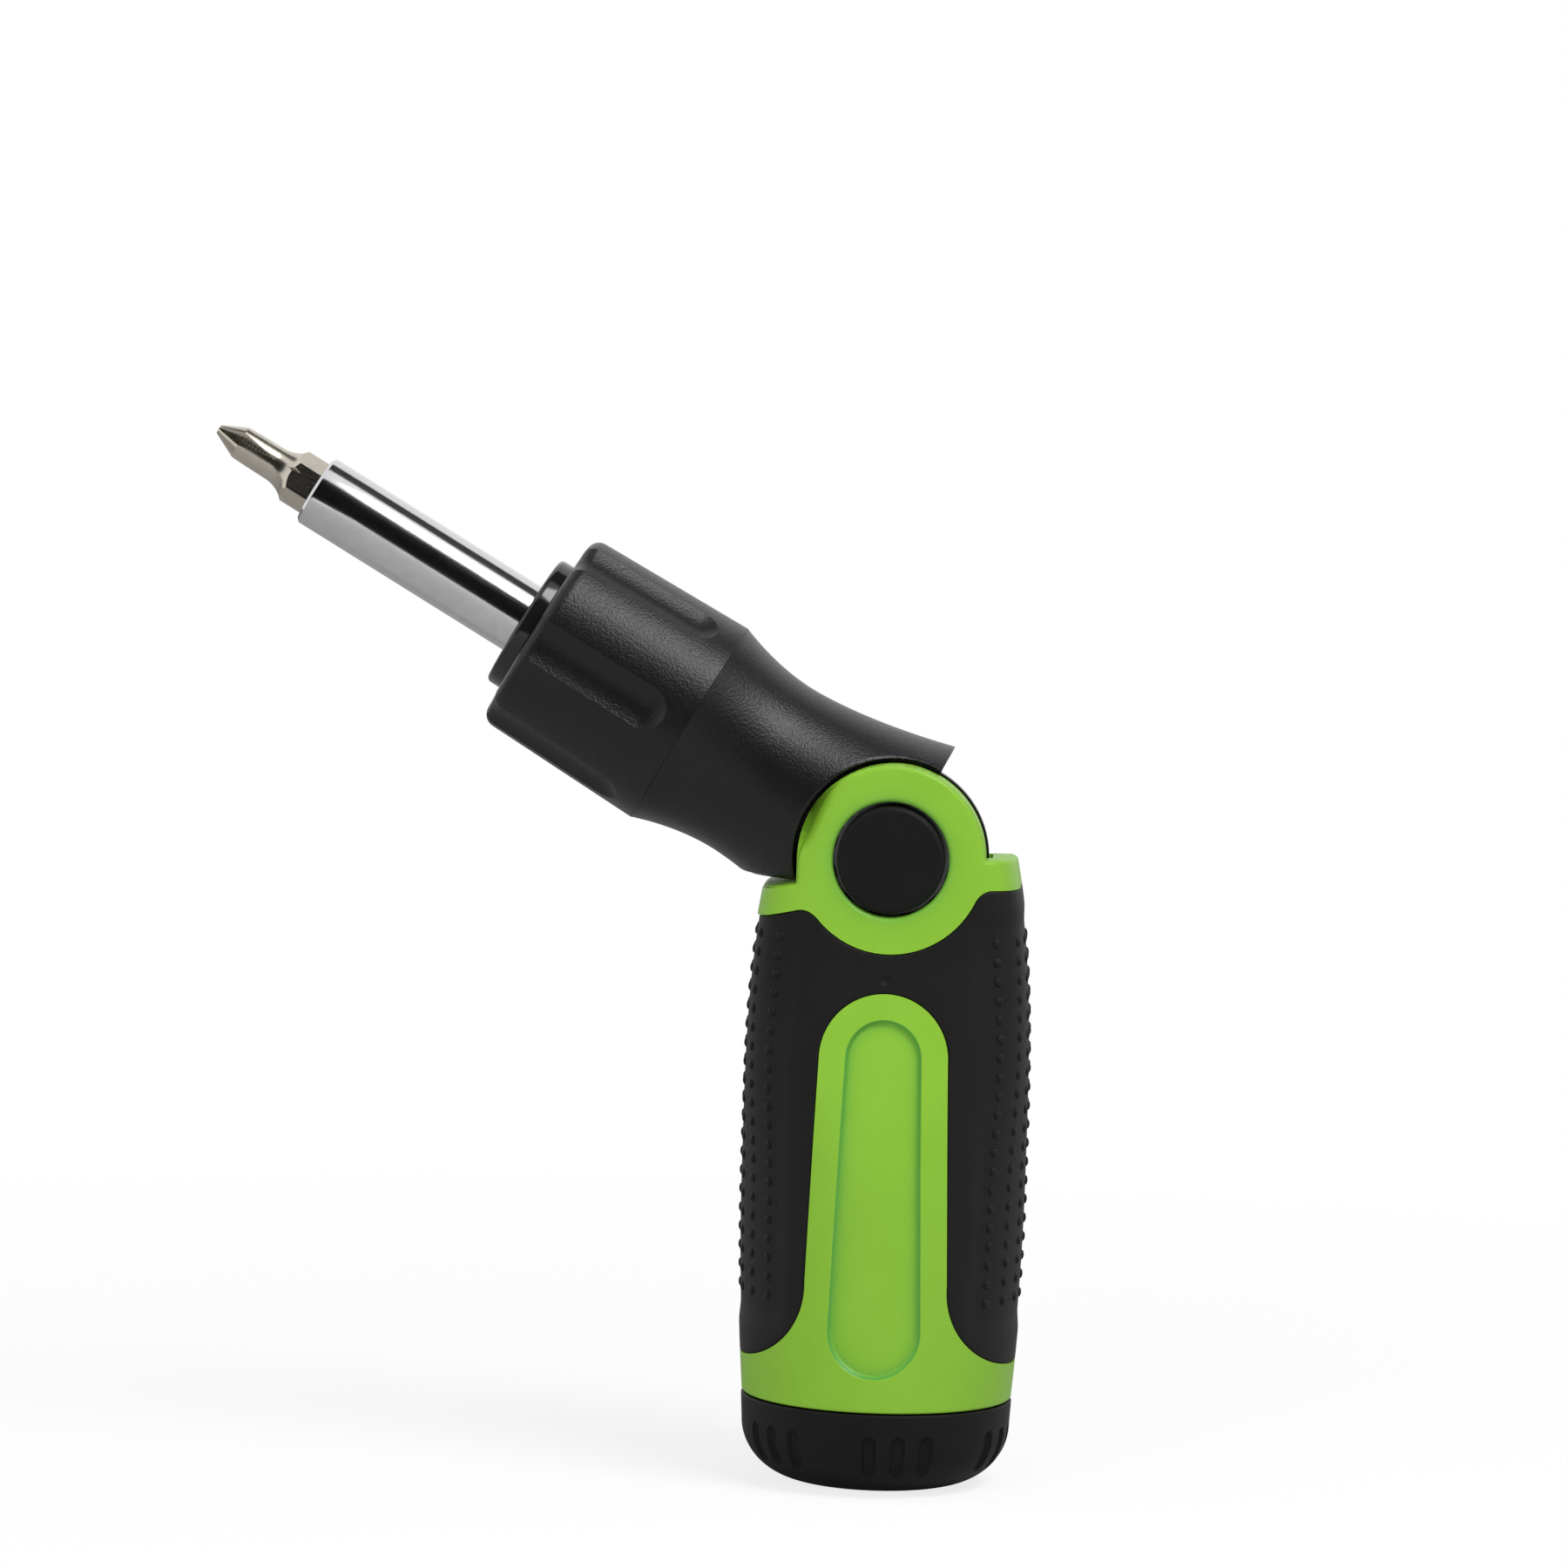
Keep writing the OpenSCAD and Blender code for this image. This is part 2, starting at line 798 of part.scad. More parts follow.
// Flat blade that ends a bit, ground down to its edge
module blade_tip(blade_w, edge_t) {
    translate([0, 0, shank_length + bit_neck_length])
        intersection() {
            cylinder(r = bit_neck_r, h = tip_length);
            rotate([90, 0, 0])
                translate([0, 0, -blade_w / 2])
                    linear_extrude(blade_w)
                        polygon([
                            [-bit_neck_r, 0],
                            [bit_neck_r, 0],
                            [edge_t / 2, tip_length],
                            [-edge_t / 2, tip_length]]);
        }
}

module cross_bit() {
    color(champagne_steel)
        on_head()
            translate([0, 0, bit_seat])
                rotate([0, 0, bit_turn]) {
                    bit_shank(cross_r + tip_step);
                    rotate([0, 0, cross_turn]) cross_tip(cross_r);
                }
}

// Moves a bit drawn on its end to its place in the rack
module in_rack(place) {
    color(champagne_steel)
        rotate([0, 0, 30 + 360 * place / rack_count])
            translate([rack_ring_r, 0, rack_z + rack_floor + 0.1])
                rotate([0, 0, 30])
                    children();
}

module slot_bit() {
    in_rack(0) {
        bit_shank(bit_neck_r);
        blade_tip(4, 0.8);
    }
}

module wide_slot_bit() {
    in_rack(1) {
        bit_shank(bit_neck_r);
        blade_tip(5.6, 1);
    }
}

module small_cross_bit() {
    in_rack(2) {
        bit_shank(small_cross_r + tip_step);
        cross_tip(small_cross_r);
    }
}

module square_bit() {
    in_rack(3) {
        bit_shank(plain_tip_r);
        outline_tip() square(2.8, center = true);
    }
}

module star_bit() {
    lobes = 6;
    in_rack(4) {
        bit_shank(plain_tip_r);
        outline_tip()
            difference() {
                circle(2.2);
                for (i = [0 : lobes - 1])
                    rotate(360 * i / lobes)
                        translate([2.5, 0]) circle(0.8);
            }
    }
}

module hex_bit() {
    in_rack(5) {
        bit_shank(plain_tip_r);
        outline_tip() circle(2.3, $fn = 6);
    }
}

module bit_rack() {
    color(red_nylon)
        difference() {
            union() {
                translate([0, 0, rack_z]) cylinder(r = rack_r, h = rack_top - rack_z);
                translate([0, 0, rack_stem_z]) cylinder(r = rack_stem_r, h = rack_z - rack_stem_z + past);
            }
            for (i = [0 : rack_count - 1])
                rotate([0, 0, 30 + 360 * i / rack_count])
                    translate([rack_ring_r, 0, rack_z + rack_floor])
                        rotate([0, 0, 30])
                            cylinder(r = socket_hex_r, h = rack_top, $fn = 6);
            translate([store_r - key_depth - gap, -key_w / 2 - gap, rack_z - past])
                cube([key_depth + past, key_w + 2 * gap, rack_top]);
            washer(clip_z, clip_groove_r, rack_stem_r + past, clip_h + 0.2);
        }
}

module swivel_clip() {
    color(bright_steel)
        washer(clip_z + 0.1, clip_groove_r + 0.05, clip_r, clip_h);
}

// Cuts one finger rib groove into the side of the end cap
module rib_groove() {
    cut = heights(rib_low_z, rib_high_z);
    rotate([90, 0, 0])
        translate([0, 0, -rib_w / 2])
            linear_extrude(rib_w)
                polygon(concat(
                    [for (z = cut) [cap_r(z) - rib_d, z]],
                    [[cap_rim_r + past, rib_high_z], [cap_rim_r + past, rib_low_z]]));
}

module end_cap() {
    round_z = [for (i = [0 : steps]) cap_round_h * (1 - cos(90 * i / steps))];
    color(black)
        difference() {
            union() {
                rotate_extrude()
                    polygon(concat(
                        [[0, 0]],
                        [for (z = round_z) [cap_r(z), z]],
                        [[cap_rim_r, cap_top], [0, cap_top]]));
                translate([0, 0, cap_round_h]) cylinder(r = plug_r, h = plug_top - cap_round_h);
            }
            washer(cap_floor, cap_boss_r, plug_wall_r, plug_top);
            translate([0, 0, rack_stem_z - gap]) cylinder(r = rack_stem_r + run_gap, h = plug_top);
            translate([0, 0, clip_z]) cylinder(r = clip_r + 0.2, h = clip_h + 0.2);
            translate([0, 0, seal_z - seal_r - 0.05])
                difference() {
                    cylinder(r = plug_r + past, h = 2 * seal_r + 0.1);
                    cylinder(r = seal_seat_r, h = 2 * seal_r + 0.1);
                }
            for (group = [0 : rib_groups - 1], i = [0 : rib_each - 1])
                rotate([0, 0, rib_turn - 90 + 360 * group / rib_groups + rib_step * (i - (rib_each - 1) / 2)])
                    rib_groove();
        }
}

module cap_seal() {
    color(gloss_black)
        translate([0, 0, seal_z])
            rotate_extrude()
                translate([seal_ring_r, 0]) circle(seal_r);
}

handle_core();
grip_sleeve();
pivot_axle();
pivot_cap();
lock_button();
lock_gear();
lock_spring();
head_shell();
nose_bushing();
pawl_left();
pawl_right();
pawl_spring();
thrust_washers();
selector_detent();
selector_collar();
bit_shaft();
ratchet_gear();
socket_magnet();
socket_ring();
cross_bit();
bit_rack();
swivel_clip();
slot_bit();
wide_slot_bit();
small_cross_bit();
square_bit();
star_bit();
hex_bit();
end_cap();
cap_seal();
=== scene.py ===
"""Dressed model of a multi-bit screwdriver with a pivoting ratchet head.

Lengths are in millimetres until a mesh is made, and in metres from then on.
Pieces of the head are drawn upright round the pivot and then set on the bent head.
"""

from __future__ import annotations

import logging
import math
from abc import ABC, abstractmethod
from dataclasses import dataclass, field
from enum import Enum
from typing import Callable, Sequence

import bmesh
import bpy
import numpy as np
from mathutils import Matrix, Vector


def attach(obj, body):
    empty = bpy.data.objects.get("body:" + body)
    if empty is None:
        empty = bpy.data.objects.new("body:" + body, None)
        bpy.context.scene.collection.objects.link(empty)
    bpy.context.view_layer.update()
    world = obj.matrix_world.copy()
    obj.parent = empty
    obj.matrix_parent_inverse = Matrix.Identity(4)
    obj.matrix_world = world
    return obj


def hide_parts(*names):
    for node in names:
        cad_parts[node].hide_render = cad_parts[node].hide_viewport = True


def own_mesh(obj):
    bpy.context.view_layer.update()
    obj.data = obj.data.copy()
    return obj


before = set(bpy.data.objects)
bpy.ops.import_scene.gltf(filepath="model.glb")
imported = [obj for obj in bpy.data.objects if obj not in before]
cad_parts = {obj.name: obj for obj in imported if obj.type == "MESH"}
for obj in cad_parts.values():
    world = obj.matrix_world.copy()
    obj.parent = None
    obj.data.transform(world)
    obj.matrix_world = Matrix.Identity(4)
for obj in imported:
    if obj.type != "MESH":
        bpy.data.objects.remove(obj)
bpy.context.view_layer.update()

MM = 0.001
TURN = 2.0 * math.pi
# Distance given to places that a line doesn't reach
FAR = 9.0
# Distance from the axis that lies outside every piece
BEYOND = 30.0
# Mesh attribute that holds how much painted shade the handle's recess and bore edges get
CREASE_SHADE = "crease"
LOG = logging.getLogger("screwdriver")

Field = Callable[[np.ndarray], np.ndarray]
Profile = list[tuple[float, float]]
Colour = tuple[float, float, float]


class Slot(Enum):
    """Material slots of the record."""

    GREEN = "green_plastic"
    GRIP = "soft_grip"
    BLACK = "black_plastic"
    GLOSS = "gloss_black"
    CHROME = "chrome_steel"
    NICKEL = "nickel_steel"
    STEEL = "plain_steel"
    NYLON = "rack_nylon"
    SEAL = "seal_rubber"


class Finish(Enum):
    """Finishes of the pieces, each with the slot that it belongs to."""

    LIME = ("lime_plastic", Slot.GREEN)
    RUBBER = ("grip_rubber", Slot.GRIP)
    GRAINED = ("grained_plastic", Slot.BLACK)
    SATIN = ("satin_plastic", Slot.BLACK)
    POLISHED = ("polished_plastic", Slot.GLOSS)
    CHROME = ("chrome_plate", Slot.CHROME)
    NICKEL = ("nickel_plate", Slot.NICKEL)
    STEEL = ("plain_steel", Slot.STEEL)
    NYLON = ("rack_nylon", Slot.NYLON)
    SEAL = ("seal_rubber", Slot.SEAL)

    @property
    def slot(self) -> Slot:
        """Returns the slot of the record."""
        return self.value[1]


class Carve(Enum):
    """Ways to combine a solid with a tool."""

    CUT = "DIFFERENCE"
    KEEP = "INTERSECT"
    JOIN = "UNION"


class Axis(Enum):
    """Axes that a lathed piece can turn round."""

    UP = "z"
    FRONT = "-y"


# Shapes


@dataclass(frozen=True)
class HeadPlace:
    """Place of the head at rest: turned about the pivot to the left.

    Attributes:
        height: Height of the pivot.
        bend: Angle between the head and the handle, in degrees.
    """

    height: float = 81.5
    bend: float = 60.0

    def matrix(self) -> Matrix:
        """Returns the move from the upright head to the bent one, in metres."""
        lift = Matrix.Translation((0.0, 0.0, self.height * MM))
        return lift @ Matrix.Rotation(math.radians(-self.bend), 4, "Y")

    def axis(self) -> Vector:
        """Returns the direction that the shaft points in."""
        return self.matrix().to_3x3() @ Vector((0.0, 0.0, 1.0))


HEAD = HeadPlace()


def smooth(value: np.ndarray) -> np.ndarray:
    """Eases a value from 0 to 1, with level ends."""
    part = np.clip(value, 0.0, 1.0)
    return part * part * (3.0 - 2.0 * part)


def scoop(value: np.ndarray) -> np.ndarray:
    """Falls steeply from 0 and levels off at 1, as a scooped groove does."""
    return 1.0 - (1.0 - np.clip(value, 0.0, 1.0)) ** 2


def edge_drop(distance: np.ndarray, radius: float) -> np.ndarray:
    """Depth of a rounded edge below its face.

    Args:
        distance: Distance from the edge, positive on the face.
        radius: Radius of the rounding.

    Returns:
        How far the surface lies below the face.
    """
    near = radius - np.clip(distance, 0.0, radius)
    return radius - np.sqrt(radius**2 - near**2)


def overlap(first: np.ndarray, second: np.ndarray, radius: float) -> np.ndarray:
    """Distance inside two regions at once, with the corner rounded.

    Args:
        first: Distance inside one region.
        second: Distance inside the other.
        radius: Radius of the rounded corner.

    Returns:
        Distance inside both, negative outside.
    """
    corner = np.hypot(np.maximum(radius - first, 0.0), np.maximum(radius - second, 0.0))
    return np.maximum(radius, np.minimum(first, second)) - corner


def arc(centre: tuple[float, float], radius: float, start: float, end: float, count: int) -> Profile:
    """Points along an arc in a profile.

    Args:
        centre: Middle of the arc.
        radius: Radius of the arc.
        start: First angle in degrees.
        end: Last angle in degrees.
        count: Number of points.

    Returns:
        The points from start to end.
    """
    angles = np.radians(np.linspace(start, end, count))
    return [(centre[0] + radius * math.cos(a), centre[1] + radius * math.sin(a)) for a in angles]


def stretch(start: tuple[float, float], end: tuple[float, float], step: float) -> Profile:
    """Points along a straight stretch of a profile, without its end.

    Args:
        start: First point.
        end: Point that the stretch runs up to.
        step: Longest distance between points.

    Returns:
        The points from start on.
    """
    count = max(1, math.ceil(math.dist(start, end) / step))
    return [
        (start[0] + (end[0] - start[0]) * i / count, start[1] + (end[1] - start[1]) * i / count)
        for i in range(count)
    ]


class Form(ABC):
    """A rounded surface that is drawn by a turn and a row."""

    @abstractmethod
    def point(self, turn: np.ndarray, row: np.ndarray) -> np.ndarray:
        """Returns the points of the surface, one line of x, y, z each."""

    def normal(self, turn: np.ndarray, row: np.ndarray) -> np.ndarray:
        """Outward directions of the surface.

        Args:
            turn: Angle of each point.
            row: Row of each point.

        Returns:
            Unit directions, one line each.
        """
        along = self.point(turn + 1e-4, row) - self.point(turn - 1e-4, row)
        up = self.point(turn, row + 1e-3) - self.point(turn, row - 1e-3)
        cross = np.cross(along, up)
        return cross / np.maximum(np.linalg.norm(cross, axis=1, keepdims=True), 1e-12)


@dataclass
class LatheForm(Form):
    """A profile turned round the upright axis, with rows counted along it.

    Attributes:
        profile: Points of radius and height.
    """

    profile: Profile

    def point(self, turn: np.ndarray, row: np.ndarray) -> np.ndarray:
        """Returns the points of the turned profile."""
        places = np.arange(len(self.profile))
        radius = np.interp(row, places, [p[0] for p in self.profile])
        height = np.interp(row, places, [p[1] for p in self.profile])
        return np.stack([radius * np.cos(turn), radius * np.sin(turn), height], axis=1)


class SurfaceNet:
    """Polygons over a form, which can be cut along lines drawn on it."""

    def __init__(self, form: Form, turns: int, rows: Sequence[float]) -> None:
        """Lays an even net of quads.

        Args:
            form: Surface that carries the net.
            turns: Number of quads round it.
            rows: Rows of vertices from bottom to top.
        """
        self.form = form
        count = len(rows)
        self.turn = np.repeat(np.arange(turns) * TURN / turns, count)
        self.row = np.tile(np.asarray(rows, dtype=float), turns)
        here = np.arange(turns)[:, None] * count + np.arange(count - 1)
        there = np.roll(here, -1, axis=0)
        self.quads = np.stack([here, there, there + 1, here + 1], axis=2).reshape(-1, 4)
        self.pieces: list[list[int]] = []

    def points(self) -> np.ndarray:
        """Returns the vertices on the form."""
        return self.form.point(self.turn, self.row)

    def normals(self) -> np.ndarray:
        """Returns the outward direction at each vertex."""
        return self.form.normal(self.turn, self.row)

    def faces(self) -> list[list[int]]:
        """Returns all polygons."""
        return self.quads.tolist() + self.pieces

    def cut(self, line: Field, *levels: float) -> None:
        """Splits the polygons where a field passes each level."""
        for level in levels:
            self._split(lambda points: line(points) - level)

    def _split(self, line: Field) -> None:
        """Splits the polygons where a field changes sign."""
        value = line(self.points())
        value[np.abs(value) < 1e-5] = 0.0
        corners = value[self.quads]
        mixed = (corners.min(axis=1) < 0.0) & (corners.max(axis=1) > 0.0)
        work = self.quads[mixed].tolist() + self.pieces
        self.quads = self.quads[~mixed]
        self.pieces = []
        made: dict[tuple[int, int], int] = {}
        signs = value.tolist()
        for face in work:
            sides = [signs[k] for k in face]
            if min(sides) >= 0.0 or max(sides) <= 0.0:
                self.pieces.append(face)
                continue
            above: list[int] = []
            below: list[int] = []
            for here, there in zip(face, face[1:] + face[:1]):
                if signs[here] >= 0.0:
                    above.append(here)
                if signs[here] <= 0.0:
                    below.append(here)
                if signs[here] * signs[there] < 0.0:
                    key = (min(here, there), max(here, there))
                    index = made.setdefault(key, len(signs) + len(made))
                    above.append(index)
                    below.append(index)
            self.pieces += [part for part in (above, below) if len(part) > 2]
        if made:
            self._add(np.array(list(made)), value, line)

    def _add(self, edges: np.ndarray, value: np.ndarray, line: Field) -> None:
        """Adds the vertices where the edges meet the line."""
        first, second = edges[:, 0], edges[:, 1]
        turn, row = self.turn[first], self.row[first]
        turn_step = (self.turn[second] - turn + math.pi) % TURN - math.pi
        row_step = self.row[second] - row
        low, high = np.zeros(len(edges)), np.ones(len(edges))
        low_value, high_value = value[first].copy(), value[second].copy()
        for _ in range(6):
            part = low + (high - low) * low_value / (low_value - high_value)
            now = line(self.form.point(turn + part * turn_step, row + part * row_step))
            left = now * low_value > 0.0
            low, low_value = np.where(left, part, low), np.where(left, now, low_value)
            high, high_value = np.where(left, high, part), np.where(left, high_value, now)
            high_value = np.where(high_value == low_value, high_value - 1e-12, high_value)
        self.turn = np.append(self.turn, turn + part * turn_step)
        self.row = np.append(self.row, row + part * row_step)

    def solid(self, depth: np.ndarray) -> tuple[np.ndarray, list[list[int]]]:
        """Presses the net in and closes its two ends.

        Args:
            depth: How far each vertex goes in along its normal.

        Returns:
            The vertices and faces of a closed form.
        """
        points = self.points() - self.normals() * depth[:, None]
        faces = self.faces()
        for row, step in ((self.row.min(), -1), (self.row.max(), 1)):
            ring = np.flatnonzero(self.row == row)
            ring = ring[np.argsort(self.turn[ring] % TURN)]
            faces.append(ring[::step].tolist())
        return points, faces

    def shell(self, keep: Field, depth: np.ndarray, thick: float) -> tuple[np.ndarray, list[list[int]]]:
        """Makes a closed skin of the polygons inside a region.

        Args:
            keep: Field that is positive in the region.
            depth: How far each vertex goes in along its normal.
            thick: How far the inner side lies below the form.

        Returns:
            The vertices and faces of the skin.
        """
        base, normals = self.points(), self.normals()
        value = keep(base)
        outer = [face for face in self.faces() if sum(value[k] for k in face) > 1e-4]
        count = len(base)
        edges = {(a, b) for face in outer for a, b in zip(face, face[1:] + face[:1])}
        rim = [[b, a, a + count, b + count] for a, b in edges if (b, a) not in edges]
        inner = [[k + count for k in reversed(face)] for face in outer]
        points = np.concatenate([base - normals * depth[:, None], base - normals * thick])
        return points, outer + inner + rim


def add_mesh(name: str, points: np.ndarray, faces: list[list[int]]) -> bpy.types.Object:
    """Makes an object of points in millimetres.

    Args:
        name: Name of the object.
        points: Vertices, one line each.
        faces: Vertex numbers of each face.

    Returns:
        The object, with loose and doubled vertices gone and its faces turned outward.
    """
    mesh = bpy.data.meshes.new(name)
    mesh.from_pydata((np.asarray(points) * MM).tolist(), [], faces)
    work = bmesh.new()
    work.from_mesh(mesh)
    bmesh.ops.remove_doubles(work, verts=work.verts, dist=2e-7)
    bmesh.ops.delete(work, geom=[v for v in work.verts if not v.link_faces], context="VERTS")
    bmesh.ops.recalc_face_normals(work, faces=work.faces)
    work.to_mesh(mesh)
    work.free()
    made = bpy.data.objects.new(name, mesh)
    bpy.context.scene.collection.objects.link(made)
    return made


def lathe(name: str, profile: Profile, count: int, axis: Axis = Axis.UP) -> bpy.types.Object:
    """Turns a closed profile of radius and height into a solid.

    Args:
        name: Name of the object.
        profile: Points round the section, ending where it began or on the axis.
        count: Number of steps round the axis.
        axis: Axis to turn round; heights count towards it.

    Returns:
        The solid.
    """
    closed = profile if profile[0][0] == profile[-1][0] == 0.0 else profile + profile[:1]
    net = SurfaceNet(LatheForm(closed), count, range(len(closed)))
    points = net.points()
    if axis is Axis.FRONT:
        points = points[:, [0, 2, 1]] * (1.0, -1.0, 1.0)
    return add_mesh(name, points, net.faces())


def prism(name: str, outline: Profile, near: float, far: float) -> bpy.types.Object:
    """Extrudes a front outline of x and height from one depth to another.

    Args:
        name: Name of the object.
        outline: Corners of the outline.
        near: First depth along y.
        far: Last depth along y.

    Returns:
        The prism.
    """
    count = len(outline)
    points = np.array([(x, y, z) for y in (near, far) for x, z in outline])
    sides = [[i, (i + 1) % count, count + (i + 1) % count, count + i] for i in range(count)]
    return add_mesh(name, points, sides + [list(range(count)), list(range(count, 2 * count))])


def block(name: str, low: Sequence[float], high: Sequence[float]) -> bpy.types.Object:
    """Makes a box between two corners."""
    outline = [(low[0], low[2]), (high[0], low[2]), (high[0], high[2]), (low[0], high[2])]
    return prism(name, outline, low[1], high[1])


def plain_mesh(piece: bpy.types.Object) -> None:
    """Turns a piece with modifiers into a plain mesh."""
    depsgraph = bpy.context.evaluated_depsgraph_get()
    mesh = bpy.data.meshes.new_from_object(piece.evaluated_get(depsgraph))
    old = piece.data
    piece.modifiers.clear()
    piece.data = mesh
    bpy.data.meshes.remove(old)


def add_node(
    tree: bpy.types.NodeTree, kind: str, inputs: dict[str | int, object], **settings: object
) -> bpy.types.Node:
    """Adds a node to a tree.

    Args:
        tree: Tree that the node goes into.
        kind: Type of the node.
        inputs: Value or source of each input, by name or number.
        settings: Other properties of the node.

    Returns:
        The node.
    """
    node = tree.nodes.new(kind)
    for name, value in settings.items():
        setattr(node, name, value)
    for name, value in inputs.items():
        if isinstance(value, bpy.types.NodeSocket):
            tree.links.new(value, node.inputs[name])
        else:
            node.inputs[name].default_value = value
    return node


def node_group(name: str, inputs: dict[str, str]) -> bpy.types.NodeTree:
    """Makes an empty node group that gives out a mesh.

    Args:
        name: Name of the group.
        inputs: Name and kind of each input.

    Returns:
        The group.
    """
    group = bpy.data.node_groups.new(name, "GeometryNodeTree")
    socket = group.interface.new_socket
    socket("Geometry", in_out="OUTPUT", socket_type="NodeSocketGeometry")
    for label, kind in inputs.items():
        socket(label, in_out="INPUT", socket_type="NodeSocket" + kind)
    return group


def close_group(group: bpy.types.NodeTree, shape: bpy.types.NodeSocket, finish: bpy.types.NodeSocket) -> None:
    """Ends a node group: makes its shape real, gives it a finish and hands it out."""
    real = add_node(group, "GeometryNodeRealizeInstances", {0: shape})
    coat = add_node(group, "GeometryNodeSetMaterial", {"Geometry": real.outputs[0], "Material": finish})
    add_node(group, "NodeGroupOutput", {0: coat.outputs[0]})


def run_group(name: str, group: bpy.types.NodeTree, values: dict[str, object]) -> bpy.types.Object:
    """Makes a plain mesh with a node group.

    Args:
        name: Name of the object.
        group: Nodes that make it.
        values: Value of each named input.

    Returns:
        The object.
    """
    piece = add_mesh(name, np.zeros((0, 3)), [])
    step = piece.modifiers.new(group.name, "NODES")
    step.node_group = group
    for item in group.interface.items_tree:
        if item.name in values:
            step[item.identifier] = values[item.name]
    plain_mesh(piece)
    return piece


def carve(body: bpy.types.Object, tool: bpy.types.Object, how: Carve = Carve.CUT) -> None:
    """Combines a solid with a tool, which is used up."""
    step = body.modifiers.new("carve", "BOOLEAN")
    step.object = tool
    step.operation = how.value
    step.solver = "EXACT"
    plain_mesh(body)
    bpy.data.objects.remove(tool)


def merge(body: bpy.types.Object, other: bpy.types.Object) -> None:
    """Adds the faces of one object to another."""
    work = bmesh.new()
    work.from_mesh(body.data)
    work.from_mesh(other.data)
    work.to_mesh(body.data)
    work.free()
    bpy.data.objects.remove(other)


def soften(piece: bpy.types.Object, angle: float = 32.0) -> None:
    """Shades a piece smooth, except along edges sharper than an angle in degrees."""
    work = bmesh.new()
    work.from_mesh(piece.data)
    bmesh.ops.remove_doubles(work, verts=work.verts, dist=5e-7)
    bmesh.ops.dissolve_degenerate(work, edges=work.edges, dist=2e-7)
    work.to_mesh(piece.data)
    work.free()
    piece.data.shade_smooth()
    piece.data.set_sharp_from_angle(angle=math.radians(angle))


# Finishes


class Tree:
    """Node tree of one material, with the few nodes that the finishes share."""

    def __init__(self, name: str) -> None:
        """Makes an empty material with a principled shader."""
        self.material = bpy.data.materials.new(name)
        self.material.use_nodes = True
        self.tree = self.material.node_tree
        self.shader = self.tree.nodes["Principled BSDF"]
        self.place = self.add("ShaderNodeTexCoord", {})["Object"]

    def add(self, kind: str, inputs: dict[str | int, object], **settings: object) -> bpy.types.NodeOutputs:
        """Adds a node and returns its outputs."""
        return add_node(self.tree, kind, inputs, **settings).outputs

    def feed(self, name: str, value: bpy.types.NodeSocket) -> None:
        """Links a value to a named input of the shader."""
        self.tree.links.new(value, self.shader.inputs[name])

    def noise(
        self, size: float, detail: float = 2.0, place: bpy.types.NodeSocket | None = None
    ) -> bpy.types.NodeSocket:
        """Adds noise.

        Args:
            size: Size of its features in millimetres.
            detail: Number of finer layers.
            place: Coordinates, or the object's own.

        Returns:
            Its value.
        """
        inputs = {"Scale": 1.0 / (size * MM), "Detail": detail, "Vector": place or self.place}
        return self.add("ShaderNodeTexNoise", inputs)["Fac"]

    def drawn(self, direction: Vector, ratio: float) -> bpy.types.NodeSocket:
        """Adds coordinates that are drawn out along a direction.

        Args:
            direction: Direction of the streaks.
            ratio: How much longer than wide the features get.

        Returns:
            The coordinates.
        """
        turn = direction.to_track_quat("Z", "Y").inverted().to_euler()
        turned = self.add("ShaderNodeMapping", {"Vector": self.place, "Rotation": turn})["Vector"]
        return self.add("ShaderNodeMapping", {"Vector": turned, "Scale": (1.0, 1.0, 1.0 / ratio)})["Vector"]

    def spread(self, value: bpy.types.NodeSocket, low: float, high: float) -> bpy.types.NodeSocket:
        """Maps a noise value to a range.

        Args:
            value: Noise value.
            low: Least result.
            high: Greatest result.

        Returns:
            The mapped value.
        """
        ends = {"Value": value, "From Min": 0.25, "From Max": 0.75, "To Min": low, "To Max": high}
        return self.add("ShaderNodeMapRange", ends)["Result"]

    def tint(self, value: bpy.types.NodeSocket, dark: Colour, light: Colour) -> None:
        """Colours the shader between two colours.

        Args:
            value: Noise value that mixes them.
            dark: Colour at low values.
            light: Colour at high values.
        """
        ramp = add_node(self.tree, "ShaderNodeValToRGB", {"Fac": value})
        for stop, place, colour in zip(ramp.color_ramp.elements, (0.3, 0.7), (dark, light)):
            stop.position = place
            stop.color = (*colour, 1.0)
        self.feed("Base Color", ramp.outputs["Color"])

    def crease(self, colour: Colour) -> None:
        """Mixes painted shade, a deeper colour, in where the mesh's stored shade value is high."""
        share = self.add("ShaderNodeAttribute", {}, attribute_name=CREASE_SHADE)["Fac"]
        plain = self.shader.inputs["Base Color"].links[0].from_socket
        mix = {"Fac": share, "Color1": plain, "Color2": (*colour, 1.0)}
        self.feed("Base Color", self.add("ShaderNodeMixRGB", mix)["Color"])

    def rough(self, value: bpy.types.NodeSocket, low: float, high: float) -> None:
        """Varies the roughness between two values."""
        self.feed("Roughness", self.spread(value, low, high))

    def bump(self, value: bpy.types.NodeSocket, depth: float, strength: float) -> None:
        """Gives the surface a fine relief.

        Args:
            value: Height.
            depth: Height of the relief in millimetres.
            strength: Share of it that shows.
        """
        relief = {"Strength": strength, "Distance": depth * MM, "Height": value}
        self.feed("Normal", self.add("ShaderNodeBump", relief)["Normal"])


